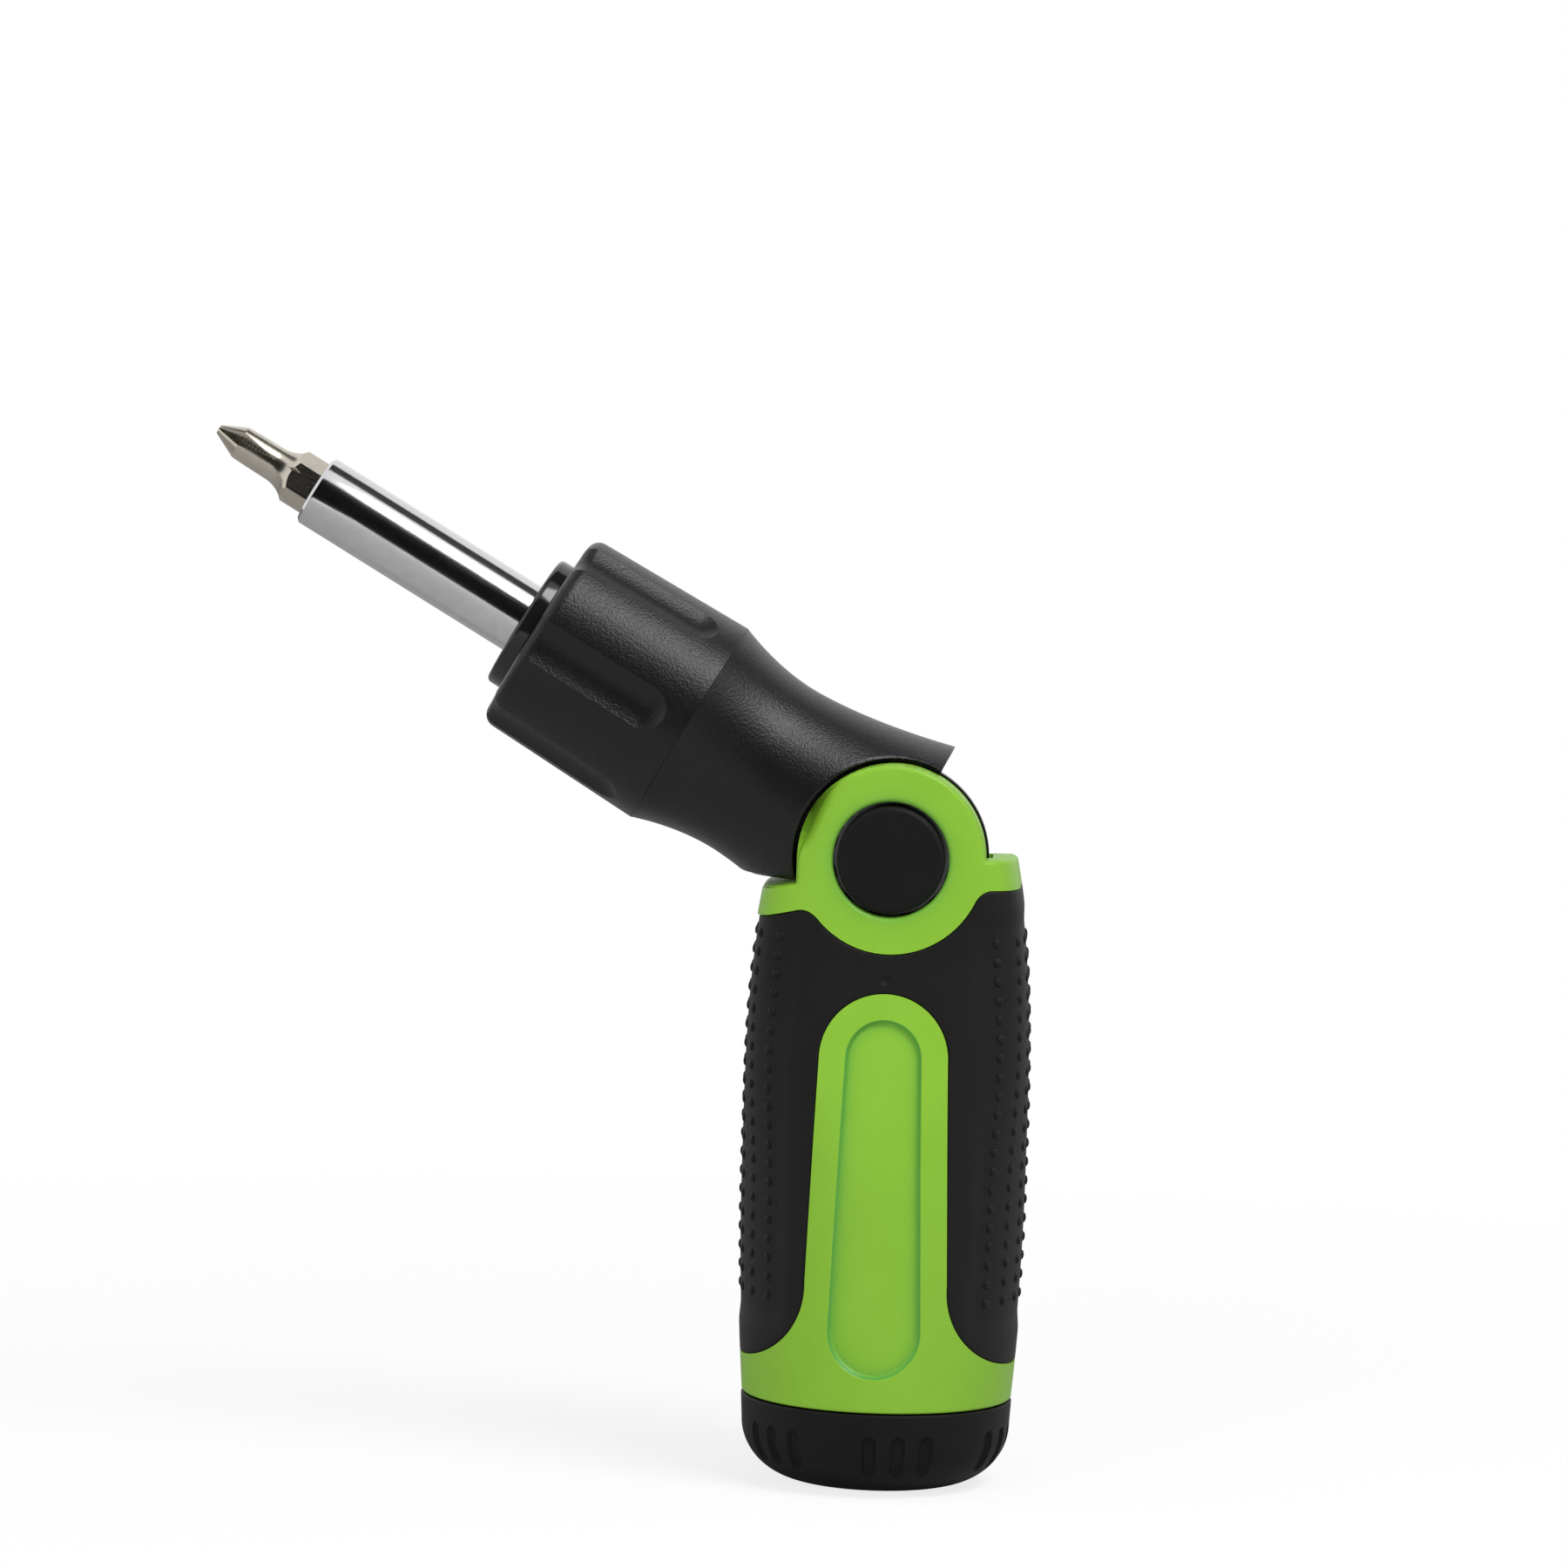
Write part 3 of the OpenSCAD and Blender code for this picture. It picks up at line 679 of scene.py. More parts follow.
@dataclass(frozen=True)
class Plastic:
    """Moulded plastic or rubber with a fine grain.

    Attributes:
        dark: Darkest colour.
        light: Lightest colour.
        gloss: Least and greatest roughness.
        grain: Size of the grain in millimetres.
        relief: Height of the grain in millimetres.
        strength: Share of the relief that shows.
        specular: Strength of its reflections.
        crease: Colour of the painted shade mixed in at creases and edges, or none.
    """

    dark: Colour
    light: Colour
    gloss: tuple[float, float]
    grain: float = 0.3
    relief: float = 0.02
    strength: float = 0.4
    specular: float = 0.5
    crease: Colour | None = None

    def material(self, name: str) -> bpy.types.Material:
        """Returns the material under a name."""
        tree = Tree(name)
        tree.tint(tree.noise(6.0, 3.0), self.dark, self.light)
        # Painted shade: a deeper colour mixed in where the mesh stores a shade value
        if self.crease:
            tree.crease(self.crease)
        grain = tree.noise(self.grain, 3.0)
        tree.rough(grain, *self.gloss)
        tree.bump(grain, self.relief, self.strength)
        tree.shader.inputs["Specular IOR Level"].default_value = self.specular
        return tree.material


@dataclass(frozen=True)
class Metal:
    """Bright metal with fine streaks along its length.

    Attributes:
        dark: Darkest colour.
        light: Lightest colour.
        gloss: Least and greatest roughness.
        along: Direction of the streaks.
        streak: Width of a streak in millimetres.
        ratio: How much longer than wide a streak is.
        relief: Height of the streaks in millimetres.
    """

    dark: Colour
    light: Colour
    gloss: tuple[float, float]
    along: tuple[float, float, float] = (0.0, 0.0, 1.0)
    streak: float = 0.12
    ratio: float = 60.0
    relief: float = 0.002

    def material(self, name: str) -> bpy.types.Material:
        """Returns the material under a name."""
        tree = Tree(name)
        tree.shader.inputs["Metallic"].default_value = 1.0
        streaks = tree.noise(self.streak, 2.0, tree.drawn(Vector(self.along), self.ratio))
        tree.tint(tree.noise(1.5, 2.0), self.dark, self.light)
        tree.rough(streaks, *self.gloss)
        tree.bump(streaks, self.relief, 0.3)
        return tree.material


@dataclass
class Finishes:
    """All finishes, made once each.

    Attributes:
        made: Material of each finish.
    """

    made: dict[Finish, bpy.types.Material] = field(default_factory=dict)

    def __post_init__(self) -> None:
        """Makes the materials."""
        along = tuple(HEAD.axis())
        recipes: dict[Finish, Plastic | Metal] = {
            Finish.LIME: Plastic(
                (0.26, 0.55, 0.034),
                (0.275, 0.575, 0.039),
                (0.36, 0.44),
                grain=0.5,
                relief=0.01,
                strength=0.25,
                specular=0.4,
                # Painted shade: deeper blue-green at the edges of the window's recess and the button's bore
                crease=(0.05, 0.32, 0.06),
            ),
            Finish.RUBBER: Plastic(
                (0.008, 0.0079, 0.0077),
                (0.01, 0.0098, 0.0096),
                (0.52, 0.64),
                grain=0.22,
                relief=0.015,
                strength=0.35,
                specular=0.22,
            ),
            Finish.GRAINED: Plastic(
                (0.005, 0.005, 0.0049),
                (0.007, 0.0069, 0.0068),
                (0.31, 0.42),
                grain=0.32,
                relief=0.07,
                strength=0.9,
                specular=0.38,
            ),
            Finish.SATIN: Plastic(
                (0.0075, 0.0075, 0.0074),
                (0.0095, 0.0094, 0.0093),
                (0.5, 0.6),
                grain=0.25,
                relief=0.012,
                strength=0.3,
                specular=0.16,
            ),
            Finish.POLISHED: Plastic(
                (0.009, 0.009, 0.0095), (0.011, 0.011, 0.0115), (0.08, 0.14), 0.8, 0.01, 0.15
            ),
            Finish.CHROME: Metal((0.64, 0.64, 0.65), (0.69, 0.69, 0.7), (0.1, 0.17), along),
            Finish.NICKEL: Metal(
                (0.56, 0.52, 0.45), (0.62, 0.575, 0.5), (0.2, 0.28), along, ratio=20.0, relief=0.0006
            ),
            Finish.STEEL: Metal(
                (0.26, 0.27, 0.28), (0.32, 0.33, 0.345), (0.3, 0.42), along, 0.15, 20.0, 0.003
            ),
            Finish.NYLON: Plastic((0.255, 0.03, 0.024), (0.28, 0.036, 0.028), (0.42, 0.54), 0.3, 0.02, 0.4),
            Finish.SEAL: Plastic((0.004, 0.004, 0.004), (0.006, 0.006, 0.006), (0.4, 0.5), 0.4, 0.01, 0.3),
        }
        self.made = {finish: recipe.material(finish.value[0]) for finish, recipe in recipes.items()}

    def dress(self, piece: bpy.types.Object, finish: Finish) -> None:
        """Gives a piece its finish."""
        piece.data.materials.clear()
        piece.data.materials.append(self.made[finish])


class Piece(ABC):
    """A visible piece that takes the place of a solid of the frame."""

    node: str
    body: str
    finish: Finish

    @abstractmethod
    def build(self) -> bpy.types.Object:
        """Returns the finished shape at its place in the frame."""

    def dress(self, finishes: Finishes) -> bpy.types.Object:
        """Builds the piece, gives it its finish and hangs it on its body.

        Args:
            finishes: Materials to choose from.

        Returns:
            The piece.
        """
        piece = self.build()
        finishes.dress(piece, self.finish)
        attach(piece, self.body)
        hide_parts(self.node)
        LOG.info("%s: %d faces on %s", piece.name, len(piece.data.polygons), self.body)
        return piece


# Handle


@dataclass
class HandleForm(Form):
    """Outer surface of the handle: round below, flattened towards the fork.

    Attributes:
        seam_z: Height of the joint with the cap.
        grip_z: Height where the handle is widest.
        grip_r: Radius there, over the bumps.
        foot_r: Radius at the joint with the cap.
        shoulder_r: Half width at the pivot.
        waist_power: How late the width falls off towards the pivot.
        pivot_z: Height of the pivot.
        flat_y: Half depth at the fork.
        square: How much squarer than an ellipse the section gets.
        flat_z: Height where the section starts to flatten.
        flat_run: How far up the depth falls off.
        square_run: How far up the section gets squarer.
    """

    seam_z: float = 11.2
    grip_z: float = 40.0
    grip_r: float = 18.6
    foot_r: float = 17.4
    shoulder_r: float = 15.7
    waist_power: float = 3.2
    pivot_z: float = 81.5
    flat_y: float = 12.8
    square: float = 2.2
    flat_z: float = 38.0
    flat_run: float = 38.0
    square_run: float = 40.0

    def point(self, turn: np.ndarray, row: np.ndarray) -> np.ndarray:
        """Returns the points at an angle and a height."""
        low = np.clip((self.grip_z - row) / (self.grip_z - self.seam_z), 0.0, 1.0)
        high = np.clip((row - self.grip_z) / (self.pivot_z - self.grip_z), 0.0, 1.4)
        barrel = self.grip_r - (self.grip_r - self.foot_r) * low**2
        barrel = barrel - edge_drop(row - self.seam_z, 0.3)
        wide = barrel - (self.grip_r - self.shoulder_r) * high**self.waist_power
        flat = np.clip((row - self.flat_z) / self.flat_run, 0.0, 1.0)
        deep = barrel - (self.grip_r - self.flat_y) * (1.0 - np.cos(math.pi * flat)) / 2.0
        power = 2.0 + self.square * smooth((row - self.flat_z) / self.square_run)
        cos, sin = np.cos(turn), np.sin(turn)
        reach = ((np.abs(cos) / wide) ** power + (np.abs(sin) / deep) ** power) ** (-1.0 / power)
        return np.stack([reach * cos, reach * sin, row], axis=1)


@dataclass
class HandleOutline:
    """Lines drawn on the handle as seen from the front.

    Each is the distance inside its region, for points in millimetres.

    Attributes:
        pivot_z: Height of the pivot.
        ear_r: Radius of the front ear.
        rear_ear_r: Radius of the rear ear.
        left_z: Height of the left shoulder beside the ear.
        left_slope: Fall of the left shoulder outward.
        left_level_x: Distance to the left where the shoulder's level stretch ends.
        right_z: Height of the right shoulder.
        right_fall: Fall of the right shoulder towards the rear, in degrees.
        border_x: Distance to both sides where the upper border of the grip bends.
        border_left: Height of the left bend and slope beyond it.
        border_right: Height of the right bend and slope beyond it.
        corner_r: Radius where the border meets the ear.
        panel_z: Lower edge of the grip.
        window: Height and radius of the window's arch.
        window_low: Height and half width of the window's lower part.
        flare_r: Radius of the flare below the window.
        recess_top: Height and radius of the recess's upper end.
        recess_low: Height and radius of the recess's lower end.
        bore_r: Radius of the button's bore.
    """

    pivot_z: float = 81.5
    ear_r: float = 12.0
    rear_ear_r: float = 9.8
    left_z: float = 77.95
    left_slope: float = 0.22
    left_level_x: float = 8.0
    right_z: float = 81.7
    right_fall: float = 6.0
    border_x: float = 10.2
    border_left: tuple[float, float] = (75.0, 0.25)
    border_right: tuple[float, float] = (78.0, 0.03)
    corner_r: float = 1.5
    panel_z: float = 16.0
    window: tuple[float, float] = (56.3, 8.2)
    window_low: tuple[float, float] = (28.0, 9.05)
    flare_r: float = 11.0
    recess_top: tuple[float, float] = (56.4, 4.9)
    recess_low: tuple[float, float] = (21.5, 6.0)
    bore_r: float = 7.4

    @staticmethod
    def below(x: np.ndarray, z: np.ndarray, start: tuple[float, float], slope: float) -> np.ndarray:
        """Distance below a sloping line.

        Args:
            x: Places across.
            z: Heights.
            start: One point of the line.
            slope: Rise of the line.

        Returns:
            Distances, positive below it.
        """
        return (start[1] + slope * (x - start[0]) - z) / math.hypot(1.0, slope)

    def shoulders(self) -> Profile:
        """Returns the corners along the top of the two shoulders, from left to right."""
        reach = 30.0
        return [
            (-reach, self.left_z - self.left_slope * (reach - self.ear_r)),
            (-self.ear_r, self.left_z),
            (-self.left_level_x, self.left_z),
            (self.ear_r, self.right_z),
            (reach, self.right_z),
        ]

    def from_pivot(self, points: np.ndarray) -> np.ndarray:
        """Returns the distance from the pivot's axis."""
        return np.hypot(points[:, 0], points[:, 2] - self.pivot_z)

    def body(self, points: np.ndarray) -> np.ndarray:
        """Distance inside the handle's shoulders and ears."""
        x, y, z = points.T
        corners = self.shoulders()
        top = np.interp(x, [corner[0] for corner in corners], [corner[1] for corner in corners])
        fall = np.where(x > 0.0, math.tan(math.radians(self.right_fall)) * np.maximum(y, 0.0), 0.0)
        shoulders = top - fall - z
        ear_r = np.where(y < 0.0, self.ear_r, self.rear_ear_r)
        ear = ear_r - self.from_pivot(points)
        stem = np.minimum(ear_r - np.abs(x), self.pivot_z - z)
        return np.maximum(np.maximum(shoulders, ear), stem)

    def bore(self, points: np.ndarray) -> np.ndarray:
        """Distance outside the button's bore in the front ear."""
        return np.where(points[:, 1] < 0.0, self.from_pivot(points) - self.bore_r, FAR)

    def window_gap(self, points: np.ndarray) -> np.ndarray:
        """Distance outside the window in the soft grip."""
        x, z = np.abs(points[:, 0]), points[:, 2]
        top_z, top_r = self.window
        low_z, low_w = self.window_low
        slope = (low_w - top_r) / (top_z - low_z)
        half = np.where(z > low_z, top_r + slope * (top_z - z), low_w)
        sides = x - half
        arch = np.hypot(x, z - top_z) - top_r
        flare_x, flare_z = low_w + self.flare_r, self.panel_z + self.flare_r
        flare = self.flare_r - np.hypot(np.minimum(x - flare_x, 0.0), z - flare_z)
        return np.where(z > top_z, arch, np.where(z < flare_z, flare, sides))

    def grip(self, points: np.ndarray) -> np.ndarray:
        """Distance inside the soft grip."""
        x, _, z = points.T
        left_z, left_slope = self.border_left
        right_z, right_slope = self.border_right
        middle = (right_z - left_z) / (2.0 * self.border_x)
        border = np.minimum(
            np.minimum(
                self.below(x, z, (-self.border_x, left_z), left_slope),
                self.below(x, z, (-self.border_x, left_z), middle),
            ),
            self.below(x, z, (self.border_x, right_z), -right_slope),
        )
        upper = overlap(border, self.from_pivot(points) - self.ear_r, self.corner_r)
        return np.minimum(np.minimum(upper, z - self.panel_z), self.window_gap(points))

    def recess(self, points: np.ndarray) -> np.ndarray:
        """Distance inside the recess of the window."""
        x, z = np.abs(points[:, 0]), points[:, 2]
        top_z, top_r = self.recess_top
        low_z, low_r = self.recess_low
        sides = top_r + (low_r - top_r) * (top_z - z) / (top_z - low_z) - x
        top = top_r - np.hypot(x, z - top_z)
        low = low_r - np.hypot(x, z - low_z)
        return np.where(z > top_z, top, np.where(z < low_z, low, sides))

    def front(self) -> Profile:
        """Returns the corners of the body and the front ear."""
        outer_left, left, _, _, outer_right = self.shoulders()
        meet = math.degrees(math.asin((self.right_z - self.pivot_z) / self.ear_r))
        return [
            (outer_left[0], 5.0),
            outer_left,
            left,
            *arc((0.0, self.pivot_z), self.ear_r, 180.0, meet, 121),
            outer_right,
            (outer_right[0], 5.0),
        ]

    def rear_waste(self) -> Profile:
        """Returns the corners of what the smaller rear ear leaves off."""
        slope = (self.right_z - self.left_z) / (self.ear_r + self.left_level_x)
        wide, ear = self.ear_r + 0.02, self.rear_ear_r
        return [
            (-wide, self.left_z),
            (-ear, self.left_z),
            *arc((0.0, self.pivot_z), ear, 180.0, 0.0, 97),
            (ear, self.left_z + slope * (ear + self.left_level_x)),
            (wide, self.right_z),
            (wide, self.pivot_z + 15.0),
            (-wide, self.pivot_z + 15.0),
        ]


@dataclass
class HandleCore(Piece):
    """Green handle with the fork, the window's recess and the bit store.

    Attributes:
        form: Outer surface.
        outline: Lines drawn on it.
        sleeve: How far the bed of the soft grip is lowered.
        recess: Depth of the window's recess.
        edge_r: Radius of the edges of the shoulders and ears.
        bore_edge_r: Radius of the edge of the button's bore.
        fall_off: Depth and width of the front ear's fall-off beside the head.
        slot_y: Half width of the fork's slot.
        slot_r: Radius of the slot's round bottom.
        gear_bore: Radius of the lock gear's bore, and how far out it goes.
        cap_bore: Radius of the rear plug's bore, and how far out it starts.
        axle_r: Radius of the axle's bore.
        crease_run: Distance in which the painted shade at an edge fades.
        store_z: Lower end of the store's bore.
        plug_bore: Radius and top of the bore for the cap's plug.
        store_bore: Radius and top of the bit store.
        rib: How close the guide rib comes to the axis, and its half width.
    """

    form: HandleForm = field(default_factory=HandleForm)
    outline: HandleOutline = field(default_factory=HandleOutline)
    sleeve: float = 1.8
    recess: float = 0.7
    edge_r: float = 0.5
    bore_edge_r: float = 0.6
    fall_off: tuple[float, float] = (2.1, 2.8)
    slot_y: float = 7.2
    slot_r: float = 12.8
    gear_bore: tuple[float, float] = (8.7, 10.4)
    cap_bore: tuple[float, float] = (7.4, 10.6)
    axle_r: float = 3.02
    crease_run: float = 0.7
    store_z: float = 9.0
    plug_bore: tuple[float, float] = (14.0, 18.0)
    store_bore: tuple[float, float] = (12.5, 52.0)
    rib: tuple[float, float] = (11.4, 1.0)
    node = "handle_core"
    body = "handle"
    finish = Finish.LIME

    def build(self) -> bpy.types.Object:
        """Returns the handle."""
        lines = self.outline
        rows = [11.2, 11.23, 11.3, 11.4, *np.linspace(11.5, 96.0, 205)]
        net = SurfaceNet(self.form, 288, rows)
        net.cut(lines.grip, 0.0, 0.02)
        net.cut(lines.recess, 0.0, 0.12, 0.3, 0.5)
        net.cut(lines.body, -0.12, 0.07, 0.22, self.edge_r)
        net.cut(lines.bore, -0.12, 0.08, 0.28, self.bore_edge_r)
        points = net.points()
        depth = np.where(lines.grip(points) > 0.01, self.sleeve, 0.0)
        depth += self.recess * smooth(lines.recess(points) / 0.5)
        depth += edge_drop(lines.body(points), self.edge_r) + self.beside_head(points)
        depth += edge_drop(lines.bore(points), self.bore_edge_r)
        core = add_mesh(self.node + "_visual", *net.solid(depth))
        carve(core, prism("outline", lines.front(), -BEYOND, BEYOND), Carve.KEEP)
        self.open_fork(core)
        self.open_store(core)
        soften(core)
        # Painted shade along the recess and bore edges, stored on the mesh for the material
        self.mark_creases(core)
        return core

    def beside_head(self, points: np.ndarray) -> np.ndarray:
        """Returns how far the front ear falls off along its edge beside the head."""
        depth, width = self.fall_off
        x, y, z = points.T
        angle = np.degrees(np.arctan2(z - self.outline.pivot_z, -x))
        share = smooth((angle + 4.0) / 26.0) * smooth((66.0 - angle) / 40.0)
        edge = np.clip(1.0 - self.outline.body(points) / width, 0.0, 1.0)
        beside = (y < 0.0) & (x > -self.outline.ear_r - 0.5)
        return np.where(beside, depth * share * edge**2, 0.0)

    def mark_creases(self, core: bpy.types.Object) -> None:
        """Stores how much painted shade each vertex gets, by how close it is to the edge of the recess or of
        the button's bore.
        """
        points = np.empty(len(core.data.vertices) * 3)
        core.data.vertices.foreach_get("co", points)
        points = points.reshape(-1, 3) / MM
        # Painted shade: strongest just inside the recess's edge, half as strong round the bore, fading with
        # distance, and only on the front and rear faces
        inside = self.outline.recess(points)
        beside = self.outline.bore(points)
        value = smooth(inside / 0.12) * np.exp(-inside / self.crease_run)
        value = np.maximum(value, 0.5 * np.exp(-np.abs(beside) / self.crease_run))
        value[np.abs(points[:, 1]) < 11.0] = 0.0
        store = core.data.attributes.new(CREASE_SHADE, "FLOAT", "POINT")
        store.data.foreach_set("value", value)

    def open_fork(self, core: bpy.types.Object) -> None:
        """Cuts the slot for the head and the bores of the two ears."""
        z = self.outline.pivot_z
        slot = [
            *arc((0.0, z), self.slot_r, 170.0, 370.0, 121),
            (self.slot_r - 0.2, z + 20.0),
            (0.2 - self.slot_r, z + 20.0),
        ]
        carve(core, prism("slot", slot, -self.slot_y, self.slot_y))
        top = self.outline.right_z
        fall = block("rear_fall", (self.outline.rear_ear_r + 0.3, 0.0, 0.0), (40.0, 40.0, 20.0))
        lean = Matrix.Rotation(math.radians(-self.outline.right_fall), 4, "X")
        fall.data.transform(Matrix.Translation((0.0, 0.0, top * MM)) @ lean)
        carve(core, fall)
        inner, outer = self.slot_y - 0.2, BEYOND
        gear_r, gear_y = self.gear_bore
        cap_r, cap_y = self.cap_bore
        button_r = self.outline.bore_r
        front = [
            (0.0, inner),
            (gear_r, inner),
            (gear_r, gear_y),
            (button_r, gear_y),
            (button_r, outer),
            (0.0, outer),
        ]
        rear = [
            (0.0, -outer),
            (cap_r, -outer),
            (cap_r, -cap_y),
            (self.axle_r, -cap_y),
            (self.axle_r, -inner),
            (0.0, -inner),
        ]
        tools = lathe("front_bore", front, 128, Axis.FRONT)
        merge(tools, lathe("rear_bore", rear, 128, Axis.FRONT))
        tools.data.transform(Matrix.Translation((0.0, 0.0, z * MM)))
        merge(tools, prism("rear_waste", self.outline.rear_waste(), inner, 20.0))
        carve(core, tools)

    def open_store(self, core: bpy.types.Object) -> None:
        """Cuts the bit store and sets its guide rib."""
        low_z = self.store_z
        plug_r, plug_z = self.plug_bore
        store_r, top_z = self.store_bore
        rib_r, half_w = self.rib
        store = [
            (0.0, low_z),
            (plug_r, low_z),
            (plug_r, plug_z),
            (store_r, plug_z),
            (store_r, top_z),
            (0.0, top_z),
        ]
        carve(core, lathe("store", store, 128))
        merge(core, block("guide_rib", (rib_r, -half_w, plug_z + 1.0), (store_r + 0.3, half_w, top_z)))


@dataclass
class GripSleeve(Piece):
    """Soft black overmould, lowered at the sides where the bumps stand.

    Attributes:
        form: Outer surface of the handle.
        outline: Lines drawn on it.
        start: Gap beside the edge of its bed.
        edge_r: Radius of its edges.
        bump: How far the sides are lowered.
        bump_span: Angle to both sides of the middle that is lowered, in degrees.
        bump_z: Lower and upper end of what is lowered.
        gate: Height, radius and depth of the moulding mark.
    """

    form: HandleForm = field(default_factory=HandleForm)
    outline: HandleOutline = field(default_factory=HandleOutline)
    start: float = 0.04
    edge_r: float = 0.3
    bump: float = 0.3
    bump_span: float = 44.0
    bump_z: tuple[float, float] = (23.0, 72.5)
    gate: tuple[float, float, float] = (66.2, 0.68, 0.2)
    node = "grip_sleeve"
    body = "handle"
    finish = Finish.RUBBER

    def gate_mark(self, points: np.ndarray) -> np.ndarray:
        """Distance inside the small round mark that the moulding leaves on the front."""
        height, radius, _ = self.gate
        inside = radius - np.hypot(points[:, 0], points[:, 2] - height)
        return np.where(points[:, 1] < 0.0, inside, -FAR)

    def build(self) -> bpy.types.Object:
        """Returns the overmould."""
        lines = self.outline
        net = SurfaceNet(self.form, 288, np.linspace(15.0, 79.0, 160))
        net.cut(lines.grip, self.start, self.start + 0.1, self.start + self.edge_r)
        net.cut(self.gate_mark, 0.0, 0.12, 0.3)
        points = net.points()
        inside = lines.grip(points) - self.start
        aside = np.degrees(np.arctan2(np.abs(points[:, 1]), np.abs(points[:, 0])))
        low, high = self.bump_z
        lowered = smooth((self.bump_span + 8.0 - aside) / 8.0)
        lowered *= smooth((points[:, 2] - low + 3.0) / 3.0) * smooth((high + 3.0 - points[:, 2]) / 3.0)
        depth = self.bump * lowered + edge_drop(inside, self.edge_r)
        depth += self.gate[2] * scoop(self.gate_mark(points) / 0.3)
        skin = net.shell(lambda at: lines.grip(at) - self.start, depth, 1.75)
        sleeve = add_mesh(self.node + "_visual", *skin)
        soften(sleeve)
        return sleeve


@dataclass
class GripBumps:
    """Rows of small bumps on both sides of the soft grip, laid by geometry nodes.

    Attributes:
        columns: Bumps side by side.
        rows: Bumps above each other.
        column_step: Angle between columns, in degrees.
        row_step: Distance between rows.
        low_z: Height of the lowest row.
        size: Half width, half length and height of a bump.
        reach: Distance from the axis that the rays start at.
    """

    columns: int = 7
    rows: int = 20
    column_step: float = 13.0
    row_step: float = 2.43
    low_z: float = 25.0
    size: tuple[float, float, float] = (0.6, 0.64, 0.3)
    reach: float = 21.0

    def tree(self) -> bpy.types.NodeTree:
        """Returns the node group that lays bumps on a surface."""
        inputs = {
            "Surface": "Object",
            "Columns": "Int",
            "Rows": "Int",
            "Column Step": "Float",
            "Row Step": "Float",
            "Low Height": "Float",
            "Reach": "Float",
            "Bump Size": "Vector",
            "Finish": "Material",
        }
        group = node_group("lay_bumps", inputs)
        source = group.nodes.new("NodeGroupInput").outputs

        def add(kind: str, inputs: dict[str | int, object], **settings: object) -> bpy.types.NodeOutputs:
            """Adds a node and returns its outputs."""
            return add_node(group, kind, inputs, **settings).outputs

        def sum_of(kind: str, first: bpy.types.NodeSocket, second: object = 0.0) -> bpy.types.NodeSocket:
            """Adds a math node with its two inputs."""
            return add("ShaderNodeMath", {0: first, 1: second}, operation=kind)[0]

        wide = sum_of("MULTIPLY", sum_of("SUBTRACT", source["Columns"], 1.0), source["Column Step"])
        tall = sum_of("MULTIPLY", sum_of("SUBTRACT", source["Rows"], 1.0), source["Row Step"])
        count = {"Vertices X": source["Columns"], "Vertices Y": source["Rows"]}
        grid = add("GeometryNodeMeshGrid", count | {"Size X": wide, "Size Y": tall})["Mesh"]
        at = add("ShaderNodeSeparateXYZ", {0: add("GeometryNodeInputPosition", {})[0]})
        low = sum_of("ADD", at["Y"], source["Low Height"])
        bent = {
            "X": sum_of("MULTIPLY", sum_of("COSINE", at["X"]), source["Reach"]),
            "Y": sum_of("MULTIPLY", sum_of("SINE", at["X"]), source["Reach"]),
            "Z": sum_of("ADD", low, sum_of("MULTIPLY", tall, 0.5)),
        }
        place = add("ShaderNodeCombineXYZ", bent)[0]
        curved = add("GeometryNodeSetPosition", {"Geometry": grid, "Position": place})[0]
        other = add("GeometryNodeTransform", {"Geometry": curved, "Rotation": (0.0, 0.0, math.pi)})[0]
        both = add_node(group, "GeometryNodeJoinGeometry", {0: curved})
        group.links.new(other, both.inputs[0])

        surface = add("GeometryNodeObjectInfo", {"Object": source["Surface"]})["Geometry"]
        level = {0: add("GeometryNodeInputPosition", {})[0], 1: (-1.0, -1.0, 0.0)}
        inward = add("ShaderNodeVectorMath", level, operation="MULTIPLY")[0]
        aim = {"Target Geometry": surface, "Ray Direction": inward, "Ray Length": 6.0 * MM}
        ray = add("GeometryNodeRaycast", aim)
        normal = {"Name": "up", "Geometry": both.outputs[0], "Value": ray["Hit Normal"]}
        kept = add("GeometryNodeStoreNamedAttribute", normal, data_type="FLOAT_VECTOR")[0]
        missed = add("FunctionNodeBooleanMath", {0: ray["Is Hit"]}, operation="NOT")[0]
        on_it = add("GeometryNodeDeleteGeometry", {"Geometry": kept, "Selection": missed})[0]
        landed = add("GeometryNodeSetPosition", {"Geometry": on_it, "Position": ray["Hit Position"]})[0]

        ball = add("GeometryNodeMeshUVSphere", {"Segments": 14, "Rings": 8, "Radius": 1.0})["Mesh"]
        sized = add("GeometryNodeTransform", {"Geometry": ball, "Scale": source["Bump Size"]})[0]
        up = add("GeometryNodeInputNamedAttribute", {"Name": "up"}, data_type="FLOAT_VECTOR")["Attribute"]
        lean = add("FunctionNodeAlignRotationToVector", {"Vector": up}, axis="Z")[0]
        upright = {"Vector": (0.0, 0.0, 1.0), "Rotation": lean}
        twist = add("FunctionNodeAlignRotationToVector", upright, axis="Y", pivot_axis="Z")[0]
        laid = {"Points": landed, "Instance": sized, "Rotation": twist}
        close_group(group, add("GeometryNodeInstanceOnPoints", laid)[0], source["Finish"])
        return group

